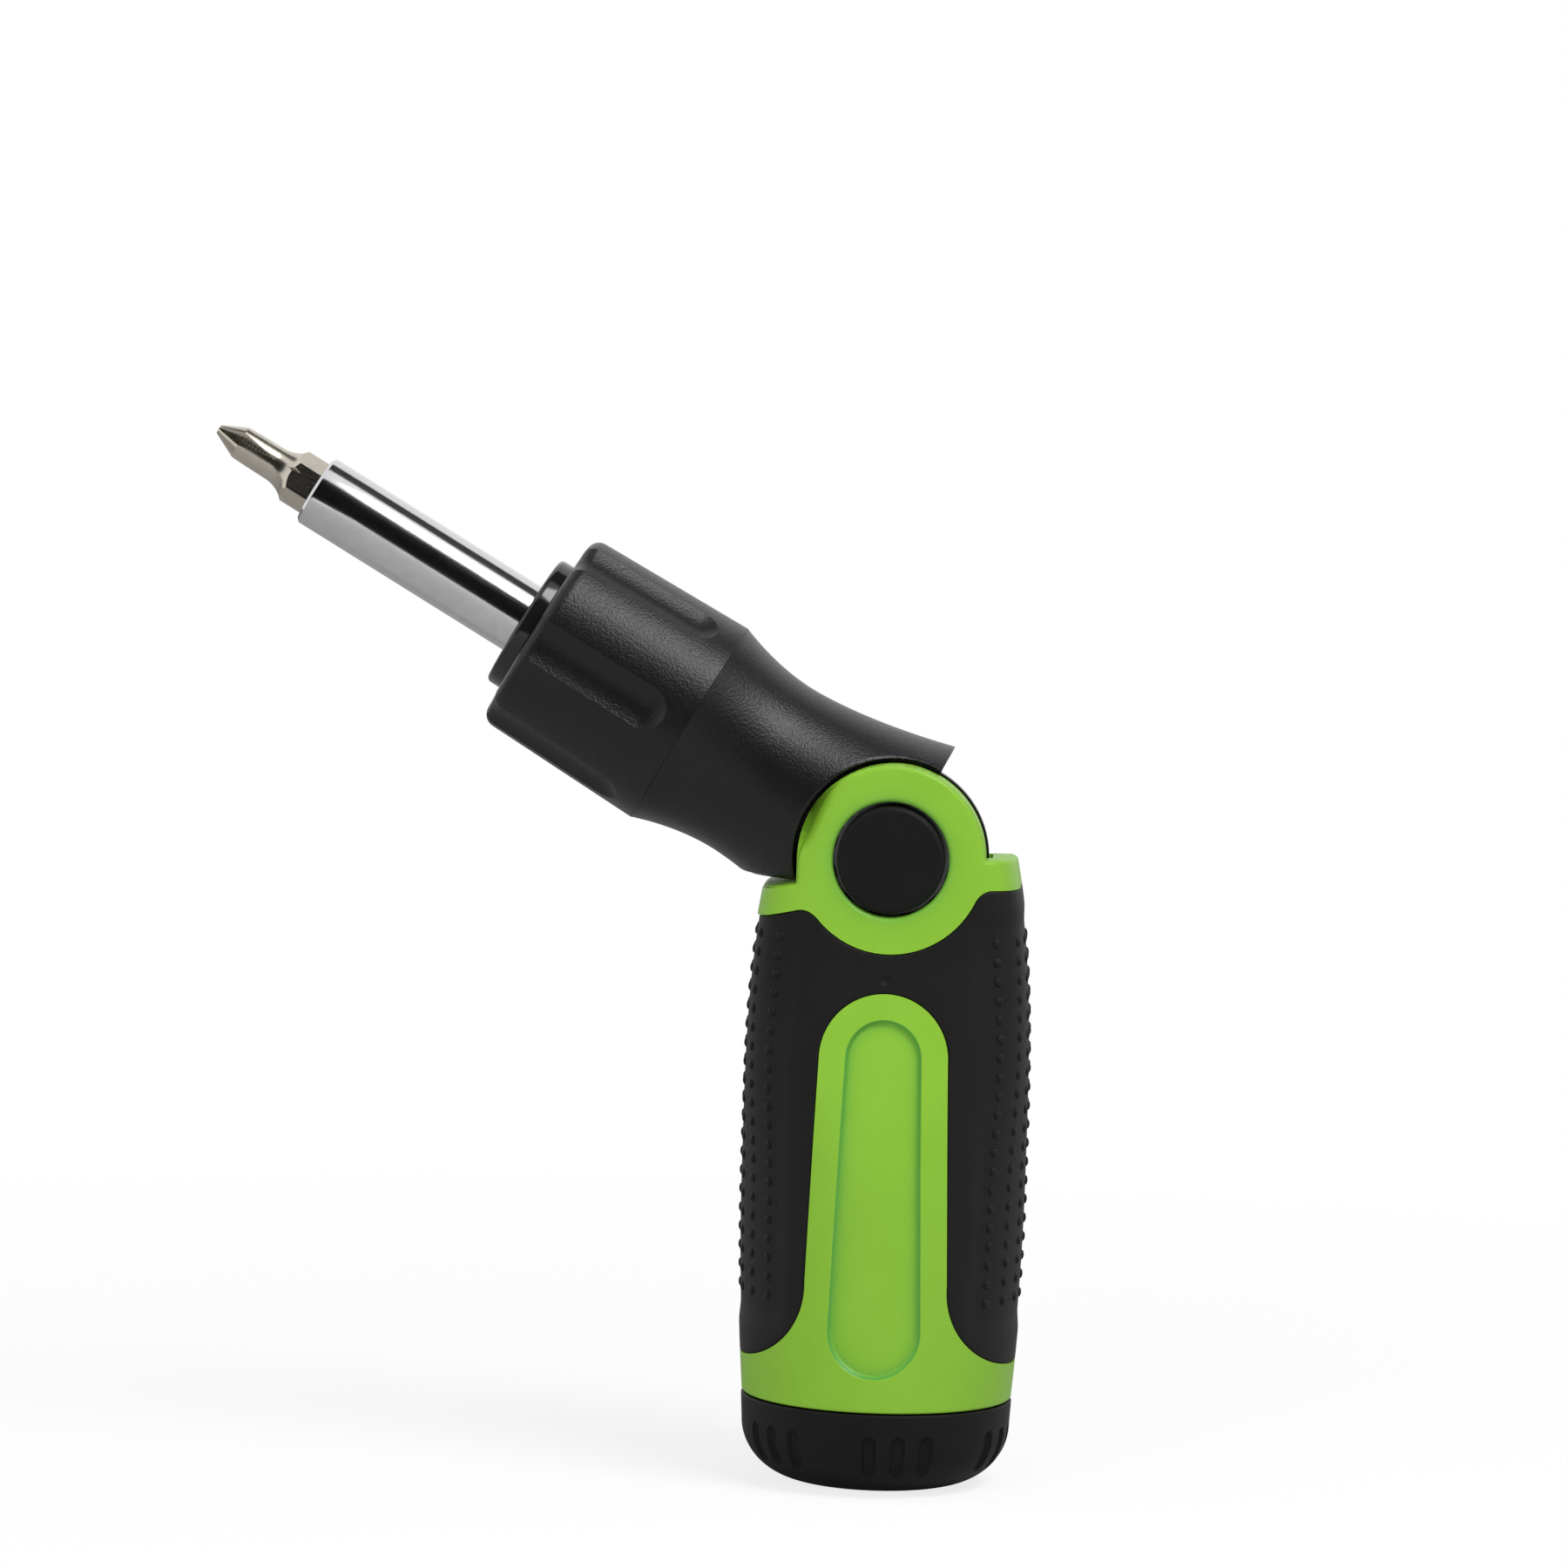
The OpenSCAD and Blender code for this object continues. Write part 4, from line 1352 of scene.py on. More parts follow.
    def dress(self, finishes: Finishes, sleeve: bpy.types.Object) -> None:
        """Lays the bumps on the soft grip.

        Args:
            finishes: Materials to choose from.
            sleeve: Surface that carries them.
        """
        values = {
            "Surface": sleeve,
            "Columns": self.columns,
            "Rows": self.rows,
            "Column Step": math.radians(self.column_step),
            "Row Step": self.row_step * MM,
            "Low Height": self.low_z * MM,
            "Reach": self.reach * MM,
            "Bump Size": [size * MM for size in self.size],
            "Finish": finishes.made[Finish.RUBBER],
        }
        piece = run_group("grip_bumps", self.tree(), values)
        piece.data.shade_smooth()
        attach(piece, "handle")
        LOG.info("grip_bumps: %d faces on handle", len(piece.data.polygons))


@dataclass
class PivotCap(Piece):
    """Plug over the rear end of the axle.

    Attributes:
        radius: Outer radius.
        hollow_r: Radius of the hollow.
        seat: How far behind the middle the rim sits.
        face: How far behind the middle the outer face is.
        floor: How far behind the middle the hollow goes.
        edge_r: Radius of the outer edge.
    """

    radius: float = 7.35
    hollow_r: float = 5.7
    seat: float = 10.6
    face: float = 12.8
    floor: float = 12.1
    edge_r: float = 0.6
    node = "pivot_cap"
    body = "handle"
    finish = Finish.SATIN

    def build(self) -> bpy.types.Object:
        """Returns the plug."""
        profile = [
            (0.0, -self.floor),
            (self.hollow_r, -self.floor),
            (self.hollow_r, -self.seat),
            (self.radius, -self.seat),
            *arc((self.radius - self.edge_r, self.edge_r - self.face), self.edge_r, 360.0, 270.0, 9),
            (0.0, -self.face),
        ]
        cap = lathe(self.node + "_visual", profile, 96, Axis.FRONT)
        cap.data.transform(Matrix.Translation((0.0, 0.0, HEAD.height * MM)))
        soften(cap)
        return cap


@dataclass
class EndCap(Piece):
    """Cap that closes the handle, with groups of finger grooves.

    Attributes:
        groups: Groups of grooves round the cap.
        each: Grooves in a group.
        step: Angle between them, in degrees.
        turn: Angle of the first group, in degrees.
        half_w: Half width of a groove.
        groove: Depth of a groove.
        low_z: Lower end of a groove.
        high_z: Upper end of a groove.
        foot_r: Radius of the flat foot.
        wall: Radius and height where the rounded bottom ends.
        rim: Radius and height of the upper rim.
        rim_edge_r: Radius of the rim's edge.
        plug: Radius and height of the plug.
        plug_edge: Chamfer of the plug.
        seal_r: Radius at the bottom of the seal's groove.
        seal_z: Lower and upper side of that groove.
        hollow: Radius and floor of the hollow.
        boss: Outer and inner radius of the boss that carries the rack.
        boss_floor: Floor of the boss's bore.
        clip_r: Radius of the clip's groove.
        clip_z: Lower and upper side of that groove.
    """

    groups: int = 6
    each: int = 3
    step: float = 12.5
    turn: float = 12.0
    half_w: float = 0.95
    groove: float = 0.6
    low_z: float = 2.6
    high_z: float = 8.2
    foot_r: float = 9.0
    wall: tuple[float, float] = (17.3, 7.6)
    rim: tuple[float, float] = (17.48, 11.0)
    rim_edge_r: float = 0.28
    plug: tuple[float, float] = (13.7, 17.4)
    plug_edge: float = 0.4
    seal_r: float = 12.45
    seal_z: tuple[float, float] = (13.35, 14.65)
    hollow: tuple[float, float] = (11.2, 4.0)
    boss: tuple[float, float] = (6.0, 3.55)
    boss_floor: float = 7.7
    clip_r: float = 4.2
    clip_z: tuple[float, float] = (10.0, 11.0)
    node = "end_cap"
    body = "end_cap"
    finish = Finish.SATIN

    def profile(self) -> Profile:
        """Returns the section of the cap, its plug and the boss that carries the rack."""
        wall_r, wall_z = self.wall
        rim_r, rim_z = self.rim
        plug_r, plug_z = self.plug
        hollow_r, hollow_z = self.hollow
        boss_r, bore_r = self.boss
        edge_r = self.rim_edge_r
        dome = [
            (self.foot_r + (wall_r - self.foot_r) * math.sin(a), wall_z * (1.0 - math.cos(a)))
            for a in np.linspace(0.0, math.pi / 2.0, 40)
        ]
        return [
            (0.0, 0.0),
            *stretch((self.foot_r / 2.0, 0.0), (self.foot_r, 0.0), 1.5),
            *dome[:-1],
            *stretch((wall_r, wall_z), (rim_r, rim_z - 0.3), 0.3),
            *arc((rim_r - edge_r, rim_z - edge_r), edge_r, 0.0, 90.0, 6),
            (plug_r, rim_z),
            (plug_r, self.seal_z[0]),
            (self.seal_r, self.seal_z[0]),
            (self.seal_r, self.seal_z[1]),
            (plug_r, self.seal_z[1]),
            (plug_r, plug_z - self.plug_edge),
            (plug_r - self.plug_edge, plug_z),
            (hollow_r, plug_z),
            (hollow_r, hollow_z),
            (boss_r, hollow_z),
            (boss_r, plug_z),
            (bore_r, plug_z),
            (bore_r, self.clip_z[1]),
            (self.clip_r, self.clip_z[1]),
            (self.clip_r, self.clip_z[0]),
            (bore_r, self.clip_z[0]),
            (bore_r, self.boss_floor),
            (0.0, self.boss_floor),
        ]

    def grooves(self, points: np.ndarray) -> np.ndarray:
        """Distance inside the nearest finger groove."""
        x, y, z = points.T
        radius = np.hypot(x, y)
        angle = np.degrees(np.arctan2(y, x)) - self.turn + 90.0
        share = 360.0 / self.groups
        angle = (angle + share / 2.0) % share - share / 2.0
        middle = (self.each - 1) / 2.0
        nearest = np.clip(np.round(angle / self.step), -middle, middle)
        across = radius * np.radians(angle - nearest * self.step)
        past = np.maximum(z - self.high_z + self.half_w, 0.0) + np.minimum(z - self.low_z - self.half_w, 0.0)
        inside = self.half_w - np.hypot(across, past)
        return np.where(radius > self.foot_r + 1.0, inside, -FAR)

    def build(self) -> bpy.types.Object:
        """Returns the cap."""
        profile = self.profile()
        net = SurfaceNet(LatheForm(profile), 432, range(len(profile)))
        net.cut(self.grooves, 0.0, 0.15, 0.4)
        depth = self.groove * scoop(self.grooves(net.points()) / 0.7)
        points = net.points() - net.normals() * depth[:, None]
        cap = add_mesh(self.node + "_visual", points, net.faces())
        soften(cap, 28.0)
        return cap


# Head


@dataclass
class LockButton(Piece):
    """Round push button in the front ear, with a bare face.

    Attributes:
        radius: Radius of the button.
        face: How far in front of the middle its face is.
        back: How far in front of the middle its back is.
        stub: Radius of the stub behind it, and where that ends.
        edge_r: Radius of its edge.
    """

    radius: float = 6.85
    face: float = 13.1
    back: float = 10.1
    stub: tuple[float, float] = (4.0, 9.1)
    edge_r: float = 0.8
    node = "lock_button"
    body = "lock_button"
    finish = Finish.SATIN

    def build(self) -> bpy.types.Object:
        """Returns the button with the stub behind it."""
        stub_r, stub_y = self.stub
        profile = [
            (0.0, stub_y),
            (stub_r, stub_y),
            (stub_r, self.back),
            (self.radius - 0.3, self.back),
            (self.radius, self.back + 0.3),
            *arc((self.radius - self.edge_r, self.face - self.edge_r), self.edge_r, 0.0, 90.0, 13),
            *stretch((self.radius - self.edge_r - 0.2, self.face), (0.0, self.face), 1.2),
            (0.0, self.face),
        ]
        button = lathe(self.node + "_visual", profile, 128, Axis.FRONT)
        soften(button)
        button.data.transform(HEAD.matrix())
        return button


@dataclass
class LockSpring(Piece):
    """Coil behind the lock button, which shortens as the button goes in.

    Attributes:
        radius: Radius of the coil, to the middle of the wire.
        wire_r: Radius of the wire.
        turns: Turns of the coil.
        ends: How far in front of the middle the coil begins and ends.
        seat: How far in front of the middle its seat in the hub is; not used.
        travel: Way of the button; not used.
    """

    radius: float = 4.6
    wire_r: float = 0.45
    turns: float = 5.0
    ends: tuple[float, float] = (1.0, 8.6)
    seat: float = 0.5
    travel: float = 3.2
    node = "lock_spring"
    body = "head"
    finish = Finish.STEEL

    def tree(self) -> bpy.types.NodeTree:
        """Returns the node group that sweeps a wire along a coil."""
        inputs = dict.fromkeys(("Turns", "Radius", "Length", "Wire"), "Float") | {"Finish": "Material"}
        group = node_group("wind_coil", inputs)
        source = group.nodes.new("NodeGroupInput").outputs
        winding = {
            "Resolution": 36,
            "Rotations": source["Turns"],
            "Start Radius": source["Radius"],
            "End Radius": source["Radius"],
            "Height": source["Length"],
        }
        coil = add_node(group, "GeometryNodeCurveSpiral", winding).outputs[0]
        ring = {"Resolution": 12, "Radius": source["Wire"]}
        wire = add_node(group, "GeometryNodeCurvePrimitiveCircle", ring).outputs[0]
        sweep = {"Curve": coil, "Profile Curve": wire, "Fill Caps": True}
        close_group(group, add_node(group, "GeometryNodeCurveToMesh", sweep).outputs[0], source["Finish"])
        return group

    def build(self) -> bpy.types.Object:
        """Returns the coil."""
        values = {
            "Turns": self.turns,
            "Radius": self.radius * MM,
            "Length": (self.ends[1] - self.ends[0]) * MM,
            "Wire": self.wire_r * MM,
            "Finish": bpy.data.materials[self.finish.value[0]],
        }
        coil = run_group(self.node + "_visual", self.tree(), values)
        soften(coil)
        forward = Matrix.Translation((0.0, -self.ends[0] * MM, 0.0)) @ Matrix.Rotation(math.pi / 2.0, 4, "X")
        coil.data.transform(HEAD.matrix() @ forward)
        return coil

    def dress(self, finishes: Finishes) -> bpy.types.Object:
        """Builds the coil and gives it a mesh of its own."""
        coil = super().dress(finishes)
        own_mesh(coil)
        return coil


@dataclass
class PawlSpring(Piece):
    """Ring spring round the pawls, with room for them to lift.

    Attributes:
        radius: Radius of the ring, to the middle of the wire.
        wire_r: Radius of the wire.
        height: Distance from the pivot.
    """

    radius: float = 9.95
    wire_r: float = 0.22
    height: float = 40.1
    node = "pawl_spring"
    body = "head"
    finish = Finish.STEEL

    def build(self) -> bpy.types.Object:
        """Returns the ring."""
        section = arc((self.radius, self.height), self.wire_r, 0.0, 330.0, 12)
        ring = lathe(self.node + "_visual", section, 144)
        soften(ring)
        ring.data.transform(HEAD.matrix())
        return ring


@dataclass
class HeadShell(Piece):
    """Neck, skirt and hub of the head, with the seat of the ratchet.

    Attributes:
        waist_z: Distance of the waist from the pivot.
        waist_r: Radius of the waist.
        skirt_z: Distance of the skirt's end from the pivot.
        skirt_r: Radius of the skirt's end.
        top_z: Distance of the neck's upper end from the pivot.
        top_r: Radius of the neck's upper end.
        front_clear: Radius of the front ear's pocket.
        rear_clear: Radius of the rear ear's pocket.
        relief: Level of the flat that clears the shoulders.
        lip_r: Radius of the rounded lips.
        hub_y: Half width of the hub.
        hub_r: Radius of the hub.
        hub_front: Radius of the hub's front step, and where it starts.
        teeth: Notches of the lock's seat.
        tooth_r: Inner and outer radius of the notches.
        lock_y: How far in front of the middle the seat ends.
        axle: Radius of the axle's bore, and where it ends.
        journal: Radius of the shaft's bore, and where it starts.
    """

    waist_z: float = 20.0
    waist_r: float = 12.1
    skirt_z: float = 0.5
    skirt_r: float = 15.5
    top_z: float = 31.0
    top_r: float = 14.2
    front_clear: float = 12.6
    rear_clear: float = 10.6
    relief: float = -3.3
    lip_r: float = 0.45
    hub_y: float = 6.95
    hub_r: float = 10.2
    hub_front: tuple[float, float] = (12.3, 5.2)
    teeth: int = 12
    tooth_r: tuple[float, float] = (7.42, 8.52)
    lock_y: float = 0.5
    axle: tuple[float, float] = (3.05, 1.5)
    journal: tuple[float, float] = (4.05, 22.5)
    node = "head_shell"
    body = "head"
    finish = Finish.GRAINED

    def radius(self, height: float) -> float:
        """Returns the radius of the neck at a distance from the pivot."""
        if height > self.waist_z:
            part = (height - self.waist_z) / (self.top_z - self.waist_z)
            return self.waist_r + (self.top_r - self.waist_r) * part**1.9
        part = (self.waist_z - height) / (self.waist_z - self.skirt_z)
        return self.waist_r + (self.skirt_r - self.waist_r) * part**1.65

    def pocket(self, points: np.ndarray) -> np.ndarray:
        """Distance outside the pockets of the two ears."""
        clear = np.where(points[:, 1] < 0.0, self.front_clear, self.rear_clear)
        return np.hypot(points[:, 0], points[:, 2]) - clear

    def above(self, points: np.ndarray) -> np.ndarray:
        """Distance above the flat that clears the shoulders."""
        bend = math.radians(HEAD.bend)
        return points[:, 0] * math.sin(bend) + points[:, 2] * math.cos(bend) - self.relief

    def build(self) -> bpy.types.Object:
        """Returns the shell."""
        heights = np.linspace(self.skirt_z, self.top_z, 96)
        profile = [(self.radius(z), z) for z in heights]
        net = SurfaceNet(LatheForm(profile), 240, range(len(profile)))
        net.cut(self.pocket, -0.1, 0.06, 0.18, self.lip_r)
        net.cut(self.above, -0.1, 0.06, 0.18, self.lip_r)
        points = net.points()
        depth = edge_drop(self.pocket(points), self.lip_r) + edge_drop(self.above(points), self.lip_r)
        shell = add_mesh(self.node + "_visual", *net.solid(depth))
        self.clear_ears(shell)
        self.add_hub(shell)
        self.add_spigot(shell)
        soften(shell)
        shell.data.transform(HEAD.matrix())
        return shell

    def clear_ears(self, shell: bpy.types.Object) -> None:
        """Cuts the pockets of the ears and the flat over the shoulders."""
        front_r, rear_r, hub_y = self.front_clear, self.rear_clear, self.hub_y
        front = [(0.0, hub_y), (front_r, hub_y), (front_r, BEYOND), (0.0, BEYOND)]
        rear = [(0.0, -BEYOND), (rear_r, -BEYOND), (rear_r, -hub_y), (0.0, -hub_y)]
        flat = block("relief", (-60.0, -60.0, self.relief - 60.0), (60.0, 60.0, self.relief))
        flat.data.transform(Matrix.Rotation(math.radians(HEAD.bend), 4, "Y"))
        carve(shell, flat)
        carve(shell, lathe("front_pocket", front, 160, Axis.FRONT))
        carve(shell, lathe("rear_pocket", rear, 160, Axis.FRONT))

    def add_hub(self, shell: bpy.types.Object) -> None:
        """Adds the stepped hub and cuts the seats of the lock and the axle."""
        front_r, front_y = self.hub_front
        hub = [
            (0.0, -self.hub_y),
            (self.hub_r, -self.hub_y),
            (self.hub_r, front_y),
            (front_r, front_y),
            (front_r, self.hub_y),
            (0.0, self.hub_y),
        ]
        carve(shell, lathe("hub", hub, 160, Axis.FRONT), Carve.JOIN)
        root, tip = self.tooth_r
        teeth = [
            (radius * math.cos(angle), radius * math.sin(angle))
            for i in range(self.teeth)
            for shift, radius in ((-0.3, root), (-0.2, tip), (0.2, tip), (0.3, root))
            for angle in [math.radians((i + shift) * 360.0 / self.teeth)]
        ]
        carve(shell, prism("lock_seat", teeth, -BEYOND, -self.lock_y))
        axle_r, axle_y = self.axle
        axle = [(0.0, -BEYOND), (axle_r, -BEYOND), (axle_r, axle_y), (0.0, axle_y)]
        carve(shell, lathe("axle_bore", axle, 64, Axis.FRONT))
        journal_r, journal_z = self.journal
        journal = [(0.0, journal_z), (journal_r, journal_z), (journal_r, 40.0), (0.0, 40.0)]
        carve(shell, lathe("journal", journal, 64))

    def add_spigot(self, shell: bpy.types.Object) -> None:
        """Adds the hidden spigot above the neck, cut from a copy of the solid."""
        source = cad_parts[self.node]
        work = bmesh.new()
        work.from_mesh(source.data)
        work.transform(HEAD.matrix().inverted() @ source.matrix_world)
        bmesh.ops.remove_doubles(work, verts=work.verts, dist=1e-6)
        geometry = work.verts[:] + work.edges[:] + work.faces[:]
        level = Vector((0.0, 0.0, (self.top_z - 0.1) * MM))
        bmesh.ops.bisect_plane(work, geom=geometry, plane_co=level, plane_no=(0, 0, 1), clear_inner=True)
        rim = [edge for edge in work.edges if edge.is_boundary]
        bmesh.ops.triangle_fill(work, use_beauty=True, edges=rim)
        bmesh.ops.recalc_face_normals(work, faces=work.faces)
        work.from_mesh(shell.data)
        work.to_mesh(shell.data)
        work.free()


@dataclass
class SelectorCollar(Piece):
    """Ratchet collar with six scooped finger grooves.

    Attributes:
        low_z: Distance of the lower end from the pivot.
        top_z: Distance of the upper end from the pivot.
        radius: Radius at the lower end.
        draft: How much narrower the upper end is.
        round_r: Radius of the upper edge.
        count: Number of grooves.
        half_w: Half width of a groove.
        depth: Depth of a groove.
        start_z: Where the grooves start.
        face_r: Radius on the upper face where they end.
        bore_r: Radius of the bore.
        mouth: Radius of the mouth, and where its lip starts.
    """

    low_z: float = 31.03
    top_z: float = 54.0
    radius: float = 14.25
    draft: float = 0.5
    round_r: float = 1.7
    count: int = 6
    half_w: float = 2.85
    depth: float = 1.0
    start_z: float = 34.0
    face_r: float = 10.6
    bore_r: float = 10.45
    mouth: tuple[float, float] = (8.1, 52.5)
    node = "selector_collar"
    body = "selector"
    finish = Finish.GRAINED

    def grooves(self, points: np.ndarray) -> np.ndarray:
        """Distance inside the nearest finger groove."""
        x, y, z = points.T
        radius = np.hypot(x, y)
        share = TURN / self.count
        angle = (np.arctan2(y, x) - math.radians(30.0) + share / 2.0) % share - share / 2.0
        past = np.minimum(z - self.start_z - self.half_w, 0.0)
        inside = self.half_w - np.hypot(radius * angle, past)
        return np.where(radius > self.face_r, inside, -FAR)

    def build(self) -> bpy.types.Object:
        """Returns the collar."""
        top_r = self.radius - self.draft
        centre = (top_r - self.round_r, self.top_z - self.round_r)
        mouth_r, mouth_z = self.mouth
        profile = [
            (self.bore_r, self.low_z),
            (self.radius - 0.05, self.low_z),
            *stretch((self.radius, self.low_z + 0.05), (top_r, centre[1]), 0.4),
            *arc(centre, self.round_r, 0.0, 90.0, 16),
            *stretch((centre[0] - 0.2, self.top_z), (mouth_r, self.top_z), 1.0),
            (mouth_r, self.top_z),
            (mouth_r, mouth_z),
            (self.bore_r, mouth_z),
            (self.bore_r, self.low_z),
        ]
        net = SurfaceNet(LatheForm(profile), 360, range(len(profile)))
        net.cut(self.grooves, 0.0, 0.3, 0.8, 1.5)
        points = net.points()
        radius = np.hypot(points[:, 0], points[:, 1])
        depth = self.depth * scoop(self.grooves(points) / self.half_w) * smooth((radius - self.face_r) / 1.5)
        points[:, :2] *= 1.0 - (depth / radius)[:, None]
        collar = add_mesh(self.node + "_visual", points, net.faces())
        soften(collar, 26.0)
        collar.data.transform(HEAD.matrix())
        return collar


@dataclass
class NoseBushing(Piece):
    """Glossy disc where the shaft comes out.

    Attributes:
        low_z: Distance of the lower end from the pivot.
        disc_z: Distance of the disc's underside.
        top_z: Distance of the disc's face.
        bore_r: Radius of the bore.
        sleeve_r: Radius of the sleeve inside the collar.
        disc_r: Radius of the disc.
        edge_r: Radius of the disc's edge.
        bore_edge_r: Radius of the bore's edge.
    """

    low_z: float = 45.6
    disc_z: float = 54.1
    top_z: float = 56.2
    bore_r: float = 4.8
    sleeve_r: float = 7.8
    disc_r: float = 9.1
    edge_r: float = 0.7
    bore_edge_r: float = 0.3
    node = "nose_bushing"
    body = "head"
    finish = Finish.POLISHED

    def build(self) -> bpy.types.Object:
        """Returns the bushing."""
        profile = [
            (self.bore_r, self.low_z),
            (self.sleeve_r, self.low_z),
            (self.sleeve_r, self.disc_z),
            (self.disc_r - 0.1, self.disc_z),
            (self.disc_r, self.disc_z + 0.1),
            *arc((self.disc_r - self.edge_r, self.top_z - self.edge_r), self.edge_r, 0.0, 90.0, 11),
            (self.bore_r + 0.5, self.top_z),
            *arc((self.bore_r + 0.3, self.top_z - 0.3), self.bore_edge_r, 90.0, 180.0, 6),
        ]
        bushing = lathe(self.node + "_visual", profile, 144)
        soften(bushing)
        bushing.data.transform(HEAD.matrix())
        return bushing


@dataclass
class BitShaft(Piece):
    """Bright round shaft with a hex socket.

    Attributes:
        radius: Radius of the shaft.
        top_z: Distance of its end from the pivot.
        chamfer: Chamfer of its end.
        socket_r: Radius to the socket's corners.
        socket_z: Distance of the socket's bottom from the pivot.
        stem: Radius of the stem inside the head, and where it starts.
        step_z: Where the stem ends.
        turn: Angle of one corner of the socket, in degrees.
    """

    radius: float = 4.75
    top_z: float = 87.8
    chamfer: float = 0.45
    socket_r: float = 3.753
    socket_z: float = 73.9
    stem: tuple[float, float] = (4.0, 22.8)
    step_z: float = 45.6
    turn: float = 5.6
    node = "bit_shaft"
    body = "shaft"
    finish = Finish.CHROME

    def build(self) -> bpy.types.Object:
        """Returns the shaft."""
        stem_r, stem_z = self.stem
        edge_z = self.top_z - self.chamfer
        profile = [
            (0.0, stem_z),
            (stem_r, stem_z),
            (stem_r, self.step_z),
            (self.radius, self.step_z),
            *stretch((self.radius, self.step_z + 0.1), (self.radius, edge_z - 0.12), 6.0),
            (self.radius, edge_z - 0.12),
            (self.radius - 0.05, edge_z + 0.05),
            (self.radius - self.chamfer + 0.05, self.top_z - 0.05),
            (self.radius - self.chamfer - 0.1, self.top_z),
            (0.0, self.top_z),
        ]
        shaft = lathe(self.node + "_visual", profile, 144)
        corners = arc((0.0, 0.0), self.socket_r, 0.0, 300.0, 6)
        hexagon = prism("socket", corners, -95.0, -self.socket_z)
        upright = Matrix.Rotation(math.radians(-90.0), 4, "X")
        hexagon.data.transform(Matrix.Rotation(math.radians(self.turn), 4, "Z") @ upright)
        carve(shaft, hexagon)
        soften(shaft, 20.0)
        shaft.data.transform(HEAD.matrix())
        return shaft


@dataclass
class CrossForm(Form):
    """Surface of a cross bit: hex shank, flared neck and four flutes.

    Attributes:
        length: Length of the bit.
        flat: Half size across the flats of the shank.
        neck: Heights where the shank ends, the flare starts and the flare ends.
        tip_r: Radius of the tip's straight stretch.
        cone: Length of the tip's cone.
        end_r: Radius of the tip's end.
        core: Depth of the flutes at the tip, from the axis.
        run_out: Distance from the tip at which the flutes run out.
        turn: Angle of one wing round the bit, in degrees.
        hex_turn: Angle of one corner of the shank, in degrees.
        rib: Pitch and depth of the fine ribs across the flutes.
        flare_r: Radius where the neck's flare starts.
        heel_r: Radius of the shank's chamfered end.
        corner_r: Radius that the shank's corners are turned to.
        run_r: Depth of the flutes where they run out, from the axis.
    """

    length: float = 25.4
    flat: float = 3.175
    neck: tuple[float, float, float] = (13.9, 14.5, 17.1)
    tip_r: float = 2.3
    cone: float = 3.3
    end_r: float = 0.6
    core: float = 0.5
    run_out: float = 9.7
    turn: float = 62.6
    hex_turn: float = 5.6
    rib: tuple[float, float] = (0.5, 0.05)
    flare_r: float = 3.1
    heel_r: float = 3.0
    corner_r: float = 3.68
    run_r: float = 2.62

    def hexagon(self, turn: np.ndarray) -> np.ndarray:
        """Returns the reach of the hex shank at an angle."""
        share = TURN / 6.0
        return self.flat / np.cos((turn - math.radians(self.hex_turn)) % share - share / 2.0)

    def round(self, height: np.ndarray) -> np.ndarray:
        """Returns the radius of the turned form at a height."""
        end, flare, straight = self.neck
        cone_z = self.length - self.cone
        heights = [0.0, 0.6, end, flare, straight, cone_z, self.length - 0.12, self.length]
        radii = [self.heel_r, self.corner_r, self.corner_r, self.flare_r, self.tip_r, self.tip_r - 0.05]
        radii += [self.end_r + 0.06, self.end_r - 0.06]
        radius = np.interp(height, heights, radii)
        part = np.clip((straight - height) / (straight - flare), 0.0, 1.0)
        in_flare = (height > flare) & (height < straight)
        return np.where(in_flare, self.tip_r + (self.flare_r - self.tip_r) * part**2.2, radius)

    def flute(self, turn: np.ndarray, height: np.ndarray) -> np.ndarray:
        """Returns the reach that the flutes leave."""
        away = np.clip((self.length - height) / self.run_out, 0.0, 1.6)
        depth = self.core + (self.run_r - self.core) * away**1.15
        pitch, rib = self.rib
        depth -= rib * (0.5 + 0.5 * np.cos(TURN * height / pitch)) * smooth(away * 4.0 - 0.6)
        share = TURN / 4.0
        off = np.abs((turn - math.radians(self.turn)) % share - share / 2.0)
        return depth / np.maximum(np.cos(off) - np.sin(off), 1e-3)

    def reach(self, turn: np.ndarray, height: np.ndarray) -> np.ndarray:
        """Returns the reach of the whole bit."""
        blank = np.minimum(self.hexagon(turn), self.round(height))
        return np.minimum(blank, self.flute(turn, height))

    def point(self, turn: np.ndarray, row: np.ndarray) -> np.ndarray:
        """Returns the points of the bit, with both ends closed on the axis."""
        height = np.clip(row, 0.0, self.length)
        inward = np.clip(np.minimum(row + 1.0, self.length + 1.0 - row), 0.0, 1.0)
        reach = self.reach(turn, height) * inward
        return np.stack([reach * np.cos(turn), reach * np.sin(turn), height], axis=1)


